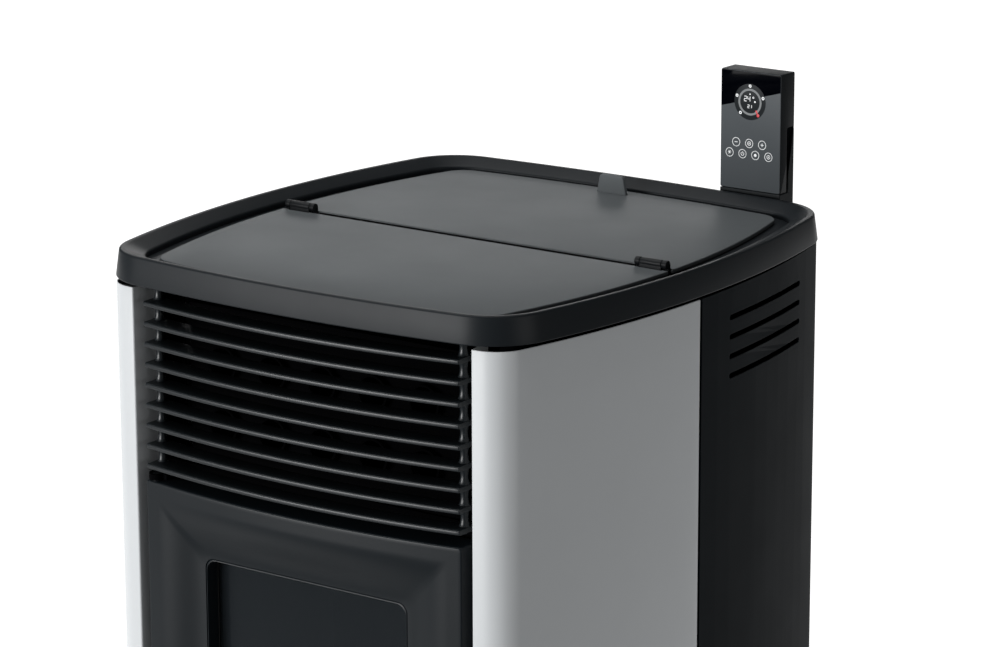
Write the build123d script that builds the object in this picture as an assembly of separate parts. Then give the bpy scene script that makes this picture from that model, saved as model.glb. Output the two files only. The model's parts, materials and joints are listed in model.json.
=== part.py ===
"""Pellet stove: a free-standing room heater, as an assembly of separate pieces.

Millimetres, +Z up, the door faces -Y. While it is modelled, x = y = 0 is the middle of the top frame's plan;
every piece is then shifted along Y so that the origin lies under the middle of the whole stove, on the floor.
"""
import os
from math import atan2, degrees, sqrt

from build123d import *

os.makedirs("parts", exist_ok=True)

# ---------------------------------------------------------------- driving dimensions: casing
FRAME_WIDTH = 500.0        # top frame, widest line
FRAME_DEPTH = 534.8        # top frame, deepest line
RIM_TOP = 950.0            # floor to the rim of the top frame
FRAME_HEIGHT = 25.1        # the top frame's outer face
FRAME_DRAFT = 3.0          # how far the outer face leans in over its height
FRONT_BOW = 16.0           # how far each side of the plan bulges past its corners
SIDE_BOW = 33.0
BACK_BOW = 10.0
FRAME_CORNER = 60.0        # corner radius of the plan
RIM_BAND = 19.0            # sloping band between the rim's crest and its inner lip
RIM_DROP = 7.5             # how far that band falls inward
RIM_EDGE = 3.0             # rounding of the crest
LEDGE_REACH = 25.0         # ledge under the lid panels, measured inward from the lip
LEDGE_T = 3.0

PANEL_DROP = 8.3           # lid panel surface below the rim
PANEL_T = 4.0
PANEL_SIDE_INSET = 37.0    # lid panel edge, in from the frame's widest line
PANEL_END_INSET = 29.0
PANEL_CORNER = 25.0
SPLIT_GAP = 7.0            # gap between the two lid panels
SEAT_GAP = 0.3             # running gap where a moving piece rests on a fixed one

CASE_INSET = 5.0           # side panels stand this far inside the frame's widest line
CASE_CORNER = 29.0
SHEET = 1.5                # casing sheet
REVEAL = 4.4               # dark gap between the top frame and the panels
SEAM_GAP = 2.0             # upright gap between the light and the dark side panels
SEAM_Y = 0.5
STRIP_IN = 67.0            # inner edge of the light strip beside the door, in from the frame's widest line
RETURN_DEPTH = 30.0        # return flange behind that edge
RETURN_LEAN = 6.0          # how far the flange leans inward over its depth
BACK_EDGE_IN = 100.0       # where the dark side panels end on the back, in from the same line
CASE_BOTTOM = 32.0

FOOT_R, FOOT_T = 19.0, 8.0
FOOT_IN, FOOT_BACK = 32.0, 10.0   # middle of a foot, in from the posts' outer corners
STUD_R, STUD_END = 5.0, 9.0
BASE_Z, BASE_T, BASE_INSET = 22.0, 3.0, 14.0
POST_LEG, POST_T = 25.0, 2.0
POST_IN, POST_FRONT_IN, POST_REAR_IN = 53.0, 72.4, 49.4   # outer corners, in from the frame's widest lines
DECK_T, DECK_INSET = 2.0, 14.0
BRACKET_HEIGHTS, BRACKET_H = (150.0, 480.0, 840.0), 18.0

# ---------------------------------------------------------------- driving dimensions: lid fittings
HINGE_R = 3.9              # lid hinge barrel
HINGE_PIN_R = 2.0
HINGE_IN = 56.0            # middle of each hinge, in from the frame's widest line
HINGE_BARREL = 22.0        # fixed barrel's length
HINGE_KNUCKLE = 5.2        # the lid's two knuckles on each hinge
LEAF_T, LEAF_DEPTH = 1.2, 14.0
RUN_FIT = 0.05             # radial clearance of a pin or shaft that turns
TAB_BASE, TAB_TOP, TAB_HEIGHT, TAB_T = 33.0, 25.5, 18.0, 4.0
TAB_BACK = 13.0            # tab behind edge of the lid

# ---------------------------------------------------------------- driving dimensions: front
SLATS = 9
SLAT_TOP_DROP = 39.9       # first slat's top below the rim
SLAT_PITCH = 18.4
SLAT_T, SLAT_DEPTH = 4.2, 22.0
SLAT_SIDE_GAP = 12.2       # from the slats' ends to the light strips' inner edges
FACE_INSET = 0.9           # middle of the bowed front, in from the frame's deepest line
FACE_BOW = 15.5            # how far it stands ahead of its ends
ROD_R, SPACER_R = 2.0, 3.8
ROD_IN, ROD_BACK, ROD_END = 5.8, 30.5, 3.0   # in from the slats' ends, behind the front, past the lowest slat

DOOR_SIDE_GAP, DOOR_TOP_DROP, DOOR_HEIGHT = 10.4, 201.9, 418.0
DOOR_DEPTH = 41.5          # middle of the bowed front to the door's flat back
WINDOW_SIDE, WINDOW_MARGIN, WINDOW_CORNER = 63.2, 63.8, 10.0
DISH_MARGIN, DISH_WEB = 15.0, 20.0   # rim round the dish, and metal left between its floor and the door's back
GLASS_T, GLASS_LAP, GLASS_GASKET_T = 4.0, 9.0, 1.0
GLASS_SINK = 6.0           # front of the glass gasket, ahead of the door's back
DOOR_PIN_R, DOOR_PIN_SIDE, DOOR_PIN_AHEAD = 4.0, 9.6, 22.0   # in from the door's edge, ahead of its back
DOOR_PIN_IN, DOOR_PIN_OUT = 12.0, 6.6
BRACKET_T, BRACKET_SIDE, BRACKET_LAP = 5.0, 9.0, 11.0
ROPE = 8.0                 # door gasket, square when squashed
ROPE_SIDE, ROPE_MARGIN = 42.6, 32.0
LATCH_SIDE, LATCH_UP, LATCH_R = 22.6, 139.9, 5.0
LATCH_ANGLE = 75.0
KEEPER_T, KEEPER_LAP, KEEPER_HALF = 4.0, 9.0, 8.0
HOOK_REACH, HOOK_T, HOOK_W = 18.0, 3.0, 8.0
LEVER_LENGTH, LEVER_W, LEVER_T, LEVER_OFF = 85.0, 16.0, 6.0, 3.5
FRONT_GAP = 8.0            # gaps between door, drawer front and lower panel

# ---------------------------------------------------------------- driving dimensions: inside
STEEL = 3.0                # firebox wall
FRAME_PLATE_T, FRAME_PLATE_LAP = 4.0, 3.4    # plate behind the door, and how far it runs past the door's edge
FIRE_IN, FIRE_BACK, FIRE_TOP_DROP = 26.0, -20.0, 17.9
FIRE_OPEN_SIDE, FIRE_OPEN_UP, FIRE_OPEN_DROP = 10.0, 69.9, 58.1   # in from the rope, and from the door's ends
TUBE_R, TUBE_WALL, TUBE_COUNT, TUBE_SIDE = 16.0, 2.0, 5, 40.0
TUBE_DROPS = (105.0, 49.0)   # the two rows, below the firebox's top
TUBE_STAND = 6.0
FRONT_SHEET_LAP = 20.0     # the firebox's front sheet runs this far down behind the plate
LINING_T = 12.0
BAFFLE_T, BAFFLE_GAP = 10.0, 45.0
POT_SIZE, POT_HEIGHT, POT_WALL, POT_LIP = 84.0, 58.0, 3.0, 8.0
POT_BEHIND, POT_UP = 87.7, 5.0   # middle of the pot behind the firebox's front, its lip above the fire opening
HOLDER_WALL = 3.0
IGNITER_R = 5.0

DRAWER_SIDE, DRAWER_DEPTH, DRAWER_HEIGHT, DRAWER_WALL = 30.0, 165.0, 56.0, 1.5
DRAWER_FRONT_HEIGHT = 87.0
RUNNER, RUNNER_POST, RUNNER_POST_IN = 10.0, 20.0, 5.0
PULL_HALF, PULL_DEPTH, PULL_T = 40.0, 9.0, 4.0

MOUTH_FRONT, MOUTH_BACK_IN = 16.0, 71.4
BIN_HEIGHT, FUNNEL_HEIGHT, NECK_HEIGHT = 224.9, 160.0, 18.0
NECK_HALF, NECK_IN = 26.0, 68.0   # neck's middle, in from the mouth's back
FLANGE = 14.0
LID_SEAL_W = 6.0
GRID_BAR_R, GRID_BARS = 2.5, 7

AUGER_R, AUGER_WALL = 27.0, 2.0
AUGER_BEHIND, AUGER_DROP, AUGER_COLLAR = 24.0, 92.0, 24.0   # tube's low end, from the neck's end
AUGER_LENGTH = 172.0
SCREW_R, SCREW_SHAFT_R, SCREW_TURNS, SCREW_BLADE = 23.0, 8.0, 4.0, 4.0
GEARBOX_T, GEARBOX_HALF, MOTOR_R, MOTOR_T = 30.0, 32.0, 26.0, 42.0
CHUTE_R, CHUTE_WALL = 22.0, 2.0
CHUTE_TOP, CHUTE_END = (106.0, 109.0), (214.0, 21.0)   # ahead of and above the auger tube's low end

FAN_Y, FAN_Z, FAN_R, FAN_WIDTH, FAN_X = 50.0, 200.0, 72.0, 50.0, 40.0
IMPELLER_R, IMPELLER_BLADES, FAN_SHAFT_R = 58.0, 10, 4.0
FAN_MOTOR_R, FAN_MOTOR_T = 38.0, 55.0
DUCT_HALF, DUCT_DEPTH, DUCT_BOTTOM, DUCT_TOP = 35.0, 115.0, 158.0, 385.0
OUTLET_IN, OUTLET_HEIGHT = 77.4, 58.0
FLUE_R, FLUE_WALL, FLUE_Z, FLUE_PAST = 40.0, 2.0, 168.0, 32.6
FLANGE_PLATE_T, FLANGE_RIM = 3.0, 5.0   # the flange's rim outside the flue pipe
INLET_R, INLET_WALL, INLET_X, INLET_Z, INLET_PAST = 25.0, 1.5, -90.0, 364.0, 20.6

ROOM_FAN_IN, ROOM_FAN_Z, ROOM_FAN_R, ROOM_FAN_BLADES = 68.0, 120.0, 34.0, 20
ROOM_FAN_LEFT, ROOM_FAN_LENGTH = -152.0, 136.0
ROOM_CASE_CLEAR, ROOM_MOTOR_R, ROOM_MOTOR_T = 8.0, 26.0, 30.0
VENTS, VENT_X, VENT_LOW, VENT_HALF, VENT_PITCH, VENT_H = 8, -44.0, 60.0, 35.0, 9.0, 4.5   # behind the drum

BOX_IN, BOX_Y, BOX_Z, BOX_SIZE = 25.0, 40.0, 600.0, (48.0, 130.0, 160.0)
BOARD_OFF, BOARD_T, BOARD_MARGIN = 12.0, 1.6, 8.0
SOCKET_X, SOCKET_Z, SOCKET_SIZE = -120.0, 110.0, (28.0, 24.0, 48.0)
RESET_TRAVEL, RESET_R, RESET_X, RESET_Z = 3.0, 7.0, 120.0, 300.0
SLOT_LENGTH, SLOT_IN, SLOT_H, SLOT_DROP, SLOT_PITCH, SLOTS = 144.8, 75.1, 5.0, 53.8, 17.6, 4

REMOTE_LEFT, REMOTE_WIDTH, REMOTE_TOP = 91.0, 65.6, 114.0
REMOTE_PAST, REMOTE_T, REMOTE_DEPTH, REMOTE_FOOT = 0.6, 12.4, 24.0, 2.0
REMOTE_HEAD, REMOTE_EDGE, SCREEN_T, REMOTE_SLOT = 52.0, 1.2, 0.8, 2.0
CRADLE_SHELF, CRADLE_ARM, CRADLE_LAP = 6.0, 90.0, 20.0

# ---------------------------------------------------------------- derived sizes
HALF_WIDTH, HALF_DEPTH = FRAME_WIDTH / 2, FRAME_DEPTH / 2
STRIP_X, BACK_EDGE_X, HINGE_X = HALF_WIDTH - STRIP_IN, HALF_WIDTH - BACK_EDGE_IN, HALF_WIDTH - HINGE_IN
POST_X, POST_FRONT_Y, POST_REAR_Y = HALF_WIDTH - POST_IN, POST_FRONT_IN - HALF_DEPTH, HALF_DEPTH - POST_REAR_IN
FOOT_X, FOOT_Y = POST_X - FOOT_IN, -POST_FRONT_Y - FOOT_BACK
FRAME_BOTTOM = RIM_TOP - FRAME_HEIGHT
PANEL_TOP = RIM_TOP - PANEL_DROP
PANEL_BOTTOM = PANEL_TOP - PANEL_T
LEDGE_TOP = PANEL_BOTTOM - SEAT_GAP
CASE_TOP = FRAME_BOTTOM - REVEAL
DECK_BOTTOM = FRAME_BOTTOM - DECK_T
BASE_TOP = BASE_Z + BASE_T
HINGE_Z = PANEL_TOP + HINGE_R + 0.2
FACE_APEX = HALF_DEPTH - FACE_INSET          # ahead of the plan's centre, like the next three
DOOR_BACK = FACE_APEX - DOOR_DEPTH
DISH_FLOOR, GLASS_SEAT = DOOR_BACK + DISH_WEB, DOOR_BACK + GLASS_SINK
SLAT_HALF, DOOR_HALF = STRIP_X - SLAT_SIDE_GAP, STRIP_X - DOOR_SIDE_GAP
WINDOW_HALF, ROPE_X, LATCH_X = DOOR_HALF - WINDOW_SIDE, DOOR_HALF - ROPE_SIDE, DOOR_HALF - LATCH_SIDE
ROD_X, ROD_Y = SLAT_HALF - ROD_IN, ROD_BACK - FACE_APEX
DOOR_PIN_X, DOOR_PIN_Y = DOOR_PIN_SIDE - DOOR_HALF, -DOOR_BACK - DOOR_PIN_AHEAD
DOOR_TOP = RIM_TOP - DOOR_TOP_DROP
DOOR_LOW = DOOR_TOP - DOOR_HEIGHT
LATCH_Z = DOOR_LOW + LATCH_UP
DRAWER_FRONT_TOP = DOOR_LOW - FRONT_GAP
DRAWER_FRONT_LOW = DRAWER_FRONT_TOP - DRAWER_FRONT_HEIGHT
LOWER_TOP = DRAWER_FRONT_LOW - FRONT_GAP
SEAL_Y = -DOOR_BACK + ROPE + SEAT_GAP        # front face of the firebox's front frame
FIRE_FRONT = SEAL_Y + FRAME_PLATE_T
FIRE_LOW, FIRE_TOP = DOOR_LOW + FRONT_GAP, DECK_BOTTOM - FIRE_TOP_DROP
FRAME_PLATE_HALF = DOOR_HALF + FRAME_PLATE_LAP
FIRE_HALF = FRAME_PLATE_HALF - FIRE_IN
FIRE_OPEN_HALF = ROPE_X - FIRE_OPEN_SIDE
FIRE_OPEN_LOW, FIRE_OPEN_HIGH = DOOR_LOW + FIRE_OPEN_UP, DOOR_TOP - FIRE_OPEN_DROP
TUBE_ROWS = [FIRE_TOP - drop for drop in TUBE_DROPS]
TUBE_STEP = 2 * (FIRE_HALF - TUBE_SIDE) / (TUBE_COUNT - 1)
POT_Y, POT_SEAT = FIRE_FRONT + POT_BEHIND, FIRE_OPEN_LOW + POT_UP
DRAWER_HALF = FIRE_HALF - DRAWER_SIDE
SLAT_LOWEST = RIM_TOP - SLAT_TOP_DROP - (SLATS - 1) * SLAT_PITCH - SLAT_T
BAFFLE_Z = FIRE_OPEN_HIGH + 55.0
IGNITER_Z = POT_SEAT - POT_HEIGHT / 3
SMOKE_LOW, SMOKE_HIGH = FIRE_LOW + STEEL + 4.0, DUCT_TOP - 6.0
MOUTH_HALF, MOUTH_BACK = FIRE_HALF, HALF_DEPTH - MOUTH_BACK_IN
HOPPER_SHOULDER = FRAME_BOTTOM - BIN_HEIGHT
HOPPER_NECK = HOPPER_SHOULDER - FUNNEL_HEIGHT
NECK_Y, NECK_END = MOUTH_BACK - NECK_IN, HOPPER_NECK - NECK_HEIGHT
AUGER_LOW = (0.0, NECK_Y + AUGER_BEHIND, NECK_END - AUGER_DROP)
CHUTE_HIGH, CHUTE_LOW = [(0.0, AUGER_LOW[1] - ahead, AUGER_LOW[2] + up) for ahead, up in (CHUTE_TOP, CHUTE_END)]
OUTLET_END, FLUE_REACH, INLET_REACH = HALF_DEPTH - OUTLET_IN, HALF_DEPTH + FLUE_PAST, HALF_DEPTH + INLET_PAST
ROOM_FAN_Y, BOX_X = POST_REAR_Y - ROOM_FAN_IN, POST_X - BOX_IN
REMOTE_FRONT, REMOTE_Z = HALF_DEPTH + REMOTE_PAST, RIM_TOP + REMOTE_TOP
REMOTE_BACK = REMOTE_FRONT + REMOTE_DEPTH
REMOTE_BOTTOM = RIM_TOP + REMOTE_FOOT
DUCT_MIDDLE = FAN_X + FAN_WIDTH / 2
ORIGIN_Y = (max(FLUE_REACH, REMOTE_BACK, INLET_REACH) - HALF_DEPTH) / 2


# ---------------------------------------------------------------- helpers
def block(x0, x1, y0, y1, z0, z1):
    """A box between two corners."""
    return Pos((x0 + x1) / 2, (y0 + y1) / 2, (z0 + z1) / 2) * Box(abs(x1 - x0), abs(y1 - y0), abs(z1 - z0))


def rod(start, end, radius):
    """A round bar from one point to another."""
    start, end = Vector(*start), Vector(*end)
    plane = Plane(origin=start, z_dir=end - start)
    return extrude(plane * Circle(radius), (end - start).length)


def pipe(start, end, radius, wall):
    """A round tube; its bore runs right through."""
    return rod(start, end, radius) - rod(start, end, radius - wall)


def plan(side_inset, end_inset, corner, z=0.0):
    """The casing's plan: four shallow arcs with rounded corners, drawn in from the frame's widest line."""
    half_w, half_d = HALF_WIDTH - side_inset, HALF_DEPTH - end_inset
    xc, front, back = half_w - SIDE_BOW, -(half_d - FRONT_BOW), half_d - BACK_BOW
    arcs = [
        ThreePointArc((-xc, front), (0, -half_d), (xc, front)),
        ThreePointArc((xc, front), (half_w, (front + back) / 2), (xc, back)),
        ThreePointArc((xc, back), (0, half_d), (-xc, back)),
        ThreePointArc((-xc, back), (-half_w, (front + back) / 2), (-xc, front)),
    ]
    outline = make_face(arcs)
    return Pos(0, 0, z) * fillet(outline.vertices(), corner)


def band(inset, thickness, corner, z0, z1):
    """An upright ring of sheet that follows the plan."""
    outer = extrude(plan(inset, inset, corner, z0), z1 - z0)
    inner = extrude(plan(inset + thickness, inset + thickness, corner - thickness, z0), z1 - z0)
    return outer - inner


def bow_y(x, apex=FACE_APEX):
    """Y of the bowed front at x: the arc through the middle and both ends of the slats."""
    radius = (SLAT_HALF**2 + FACE_BOW**2) / (2 * FACE_BOW)
    return -apex + radius - sqrt(radius**2 - x**2)


def bowed_slab(half, back_y, z0, z1, apex=FACE_APEX):
    """A slab with the bowed front face and a flat back."""
    face = make_face([
        ThreePointArc((-half, bow_y(-half, apex)), (0, -apex), (half, bow_y(half, apex))),
        Line((half, bow_y(half, apex)), (half, back_y)),
        Line((half, back_y), (-half, back_y)),
        Line((-half, back_y), (-half, bow_y(-half, apex))),
    ])
    return extrude(Pos(0, 0, z0) * face, z1 - z0)


def bowed_sheet(half, thickness, z0, z1):
    """A sheet of even thickness that follows the bowed front."""
    past = bow_y(half) + thickness + 1
    return bowed_slab(half, past, z0, z1) - bowed_slab(half + 1, past + 1, z0, z1, FACE_APEX - thickness)


def mirrored(shape):
    """The same piece on the other side of the stove."""
    return mirror(shape, about=Plane.YZ)


def save(name, *solids):
    """Writes one sub-part: all its solids, moved to the stove's own origin."""
    pieces = [Pos(0, -ORIGIN_Y, 0) * solid for shape in solids for solid in shape.solids()]
    whole = pieces[0] if len(pieces) == 1 else Compound(children=pieces)
    whole.label = name
    export_step(whole, f"parts/{name}.step")


# ---------------------------------------------------------------- base and chassis
def chassis():
    feet_at = [(x, y) for x in (-FOOT_X, FOOT_X) for y in (-FOOT_Y, FOOT_Y)]
    feet = [rod((x, y, 0), (x, y, FOOT_T), FOOT_R) + rod((x, y, FOOT_T), (x, y, BASE_TOP + STUD_END), STUD_R)
            for x, y in feet_at]
    save("levelling_feet", *feet)
    base = extrude(plan(BASE_INSET, BASE_INSET, CASE_CORNER, BASE_Z), BASE_T)
    for x, y in feet_at:
        base -= rod((x, y, BASE_Z), (x, y, BASE_TOP), STUD_R)
    save("base_plate", base)

    posts = []
    for y, inward in ((POST_FRONT_Y, 1), (POST_REAR_Y, -1)):
        leg_x = block(POST_X - POST_LEG, POST_X, y, y + inward * POST_T, BASE_TOP, DECK_BOTTOM)
        leg_y = block(POST_X - POST_T, POST_X, y, y + inward * POST_LEG, BASE_TOP, DECK_BOTTOM)
        posts += [leg_x + leg_y, mirrored(leg_x + leg_y)]
    save("corner_posts", *posts)

    deck = extrude(plan(DECK_INSET, DECK_INSET, CASE_CORNER, DECK_BOTTOM), DECK_T)
    deck -= block(-MOUTH_HALF, MOUTH_HALF, MOUTH_FRONT, MOUTH_BACK, DECK_BOTTOM, FRAME_BOTTOM)
    save("top_deck", deck)


# ---------------------------------------------------------------- top frame and lid
def top():
    lean = degrees(atan2(FRAME_DRAFT, FRAME_HEIGHT))
    body = extrude(plan(0, 0, FRAME_CORNER, FRAME_BOTTOM), FRAME_HEIGHT, taper=lean)
    body = fillet(body.faces().sort_by(Axis.Z)[-1].edges(), RIM_EDGE)
    lip = FRAME_DRAFT + RIM_BAND
    start = FRAME_DRAFT + RIM_EDGE
    body -= loft([plan(lip, lip, FRAME_CORNER - RIM_BAND, RIM_TOP - RIM_DROP),
                  plan(start, start, FRAME_CORNER - start, RIM_TOP)])
    reach = lip + LEDGE_REACH
    ledge_low = LEDGE_TOP - LEDGE_T
    body -= extrude(plan(lip, lip, FRAME_CORNER - RIM_BAND, LEDGE_TOP), FRAME_HEIGHT)
    body -= extrude(plan(lip, lip, FRAME_CORNER - RIM_BAND, FRAME_BOTTOM), ledge_low - FRAME_BOTTOM)
    body -= extrude(plan(reach, reach, PANEL_CORNER, FRAME_BOTTOM), FRAME_HEIGHT)
    leaf_half = HINGE_BARREL / 2 + HINGE_KNUCKLE + 2
    for x in (-HINGE_X, HINGE_X):
        body -= block(x - leaf_half, x + leaf_half, -LEAF_DEPTH - 1, LEAF_DEPTH + 1, ledge_low, LEDGE_TOP)
    save("top_frame", body)

    panel = extrude(plan(PANEL_SIDE_INSET, PANEL_END_INSET, PANEL_CORNER, PANEL_BOTTOM), PANEL_T)
    half = SPLIT_GAP / 2
    fixed = panel & block(-FRAME_WIDTH, FRAME_WIDTH, -FRAME_DEPTH, -half, PANEL_BOTTOM, PANEL_TOP)
    lid = panel & block(-FRAME_WIDTH, FRAME_WIDTH, half, FRAME_DEPTH, PANEL_BOTTOM, PANEL_TOP)

    barrel_end = HINGE_BARREL / 2
    knuckle_at = barrel_end + SEAT_GAP + HINGE_KNUCKLE / 2
    bore = HINGE_PIN_R + RUN_FIT
    leaf_top = PANEL_BOTTOM
    fixed_hinges, lid_hinges, pins = [], [], []
    for x in (-HINGE_X, HINGE_X):
        fixed_hinges.append(hinge_knuckle(x, HINGE_BARREL, -1, leaf_top, bore))
        fixed -= block(x - barrel_end - 1, x + barrel_end + 1, -HINGE_R - 1, 0, PANEL_BOTTOM, PANEL_TOP)
        for side in (-1, 1):
            at = x + side * knuckle_at
            notch = HINGE_KNUCKLE / 2 + 1
            lid_hinges.append(hinge_knuckle(at, HINGE_KNUCKLE, 1, leaf_top, HINGE_PIN_R))
            lid -= block(at - notch, at + notch, 0, HINGE_R + 1, PANEL_BOTTOM, PANEL_TOP)
        reach = knuckle_at + HINGE_KNUCKLE / 2
        pins.append(rod((x - reach, 0, HINGE_Z), (x + reach, 0, HINGE_Z), HINGE_PIN_R))
    save("top_panel_front", fixed)
    save("hopper_lid", lid)
    save("lid_hinge_barrels", *fixed_hinges)
    save("lid_hinge_knuckles", *lid_hinges, *pins)

    tab_y = HALF_DEPTH - PANEL_END_INSET - TAB_BACK
    tab = make_face(Polyline((-TAB_BASE / 2, 0), (TAB_BASE / 2, 0), (TAB_TOP / 2, TAB_HEIGHT),
                             (-TAB_TOP / 2, TAB_HEIGHT), close=True))
    tab = fillet(tab.vertices().sort_by(Axis.Y)[-2:], TAB_T / 2)
    save("lid_tab", Pos(0, tab_y, PANEL_TOP) * Rot(90, 0, 0) * extrude(tab, TAB_T))

    seal_low = FRAME_BOTTOM + SHEET + SEAT_GAP
    save("lid_gasket", ring(SHEET + LID_SEAL_W, SHEET, seal_low, PANEL_BOTTOM))


def ring(outward, inward, z0, z1):
    """A rectangular ring round the hopper's mouth, between two distances outside it."""
    def grown(grow):
        half = MOUTH_HALF + grow
        return block(-half, half, MOUTH_FRONT - grow, MOUTH_BACK + grow, z0, z1)

    return grown(outward) - grown(inward)


def hinge_knuckle(x, length, side, leaf_top, bore):
    """One barrel of a lid hinge, its neck through the notch in the panel and its leaf below the panel."""
    x0, x1 = x - length / 2, x + length / 2
    barrel = rod((x0, 0, HINGE_Z), (x1, 0, HINGE_Z), HINGE_R)
    neck = block(x0, x1, side * 0.8, side * HINGE_R, leaf_top - LEAF_T, HINGE_Z)
    leaf = block(x0, x1, side * 0.8, side * LEAF_DEPTH, leaf_top - LEAF_T, leaf_top)
    return barrel + neck + leaf - rod((x0, 0, HINGE_Z), (x1, 0, HINGE_Z), bore)


# ---------------------------------------------------------------- casing panels
def casing():
    skin = band(CASE_INSET, SHEET, CASE_CORNER, CASE_BOTTOM, CASE_TOP)
    far = FRAME_WIDTH
    light = skin & block(STRIP_X, far, -far, SEAM_Y - SEAM_GAP / 2, CASE_BOTTOM, CASE_TOP)
    strip_y = min(v.Y for v in light.vertices() if v.X < STRIP_X + 1)
    flange = extrude(make_face(Polyline(
        (STRIP_X, strip_y), (STRIP_X + SHEET, strip_y), (STRIP_X + SHEET - RETURN_LEAN, strip_y + RETURN_DEPTH),
        (STRIP_X - RETURN_LEAN, strip_y + RETURN_DEPTH), close=True)), CASE_TOP - CASE_BOTTOM)
    light += Pos(0, 0, CASE_BOTTOM) * flange
    save("side_panel_right", light)
    save("side_panel_left", mirrored(light))

    dark = skin & block(BACK_EDGE_X, far, SEAM_Y + SEAM_GAP / 2, far, CASE_BOTTOM, CASE_TOP)
    slot_mid = HALF_DEPTH - SLOT_IN - SLOT_LENGTH / 2
    slot = extrude(Plane.YZ * SlotOverall(SLOT_LENGTH, SLOT_H), far)
    for index in range(SLOTS):
        dark -= Pos(HALF_WIDTH / 2, slot_mid, RIM_TOP - SLOT_DROP - SLOT_H / 2 - index * SLOT_PITCH) * slot
    save("rear_side_right", dark)
    save("rear_side_left", mirrored(dark))

    back = skin & block(-BACK_EDGE_X + SEAM_GAP, BACK_EDGE_X - SEAM_GAP, 0, far, CASE_BOTTOM, CASE_TOP)
    back -= rod((DUCT_MIDDLE, 0, FLUE_Z), (DUCT_MIDDLE, far, FLUE_Z), FLUE_R + 2)
    back -= rod((INLET_X, 0, INLET_Z), (INLET_X, far, INLET_Z), INLET_R + 1)
    back -= rod((RESET_X, 0, RESET_Z), (RESET_X, far, RESET_Z), RESET_R + 1)
    wide, _, tall = SOCKET_SIZE
    back -= block(SOCKET_X - wide / 2, SOCKET_X + wide / 2, 0, far, SOCKET_Z - tall / 2, SOCKET_Z + tall / 2)
    for index in range(VENTS):
        z = VENT_LOW + index * VENT_PITCH
        back -= block(VENT_X - VENT_HALF, VENT_X + VENT_HALF, 0, far, z, z + VENT_H)
    save("back_panel", back)
    save("lower_front_panel", bowed_sheet(DOOR_HALF, SHEET * 2, CASE_BOTTOM, LOWER_TOP))

    inside = extrude(plan(CASE_INSET + SHEET, CASE_INSET + SHEET, CASE_CORNER - SHEET, 0), RIM_TOP)
    behind = bowed_slab(DOOR_HALF, POST_FRONT_Y, 0, LOWER_TOP, FACE_APEX - SHEET * 2)
    brackets = []
    for z in BRACKET_HEIGHTS:
        top_z = z + BRACKET_H
        rear = block(POST_X, far, POST_REAR_Y - POST_LEG, POST_REAR_Y - 5, z, top_z) & inside
        front = block(POST_X, far, POST_FRONT_Y, POST_FRONT_Y + POST_LEG, z, top_z) & inside
        back = block(BACK_EDGE_X - 20, POST_X - 10, POST_REAR_Y, far, z, top_z) & inside
        brackets += [rear, front, back]
    low = BRACKET_HEIGHTS[0]
    arm = block(DOOR_HALF - 12, DOOR_HALF - 2, -far, POST_FRONT_Y, low, low + BRACKET_H) & behind
    arm += block(DOOR_HALF - 12, POST_X - 5, POST_FRONT_Y - 5, POST_FRONT_Y, low, low + BRACKET_H)
    brackets.append(arm)
    save("panel_brackets", *brackets, *[mirrored(piece) for piece in brackets])


# ---------------------------------------------------------------- grille
def grille():
    slats, spacers = [], []
    rods = [rod((x, ROD_Y, SLAT_LOWEST - ROD_END), (x, ROD_Y, DECK_BOTTOM), ROD_R) for x in (-ROD_X, ROD_X)]
    for index in range(SLATS):
        top_z = RIM_TOP - SLAT_TOP_DROP - index * SLAT_PITCH
        next_z = top_z + SLAT_PITCH - SLAT_T if index else DECK_BOTTOM
        slat = bowed_sheet(SLAT_HALF, SLAT_DEPTH, top_z - SLAT_T, top_z)
        for x in (-ROD_X, ROD_X):
            slat -= rod((x, ROD_Y, top_z - SLAT_T), (x, ROD_Y, top_z), ROD_R)
            spacers.append(pipe((x, ROD_Y, top_z), (x, ROD_Y, next_z), SPACER_R, SPACER_R - ROD_R))
        slats.append(slat)
    save("grille_slats", *slats)
    save("grille_rods", *rods, *spacers)


# ---------------------------------------------------------------- fire door
def rounded_prism(half, z0, z1, corner, y0, y1):
    """A rounded rectangle in the door's plane, carried from y0 to y1."""
    face = Pos(0, (z0 + z1) / 2) * RectangleRounded(2 * half, z1 - z0, corner)
    return Pos(0, y1, 0) * Rot(90, 0, 0) * extrude(face, y1 - y0)


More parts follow.
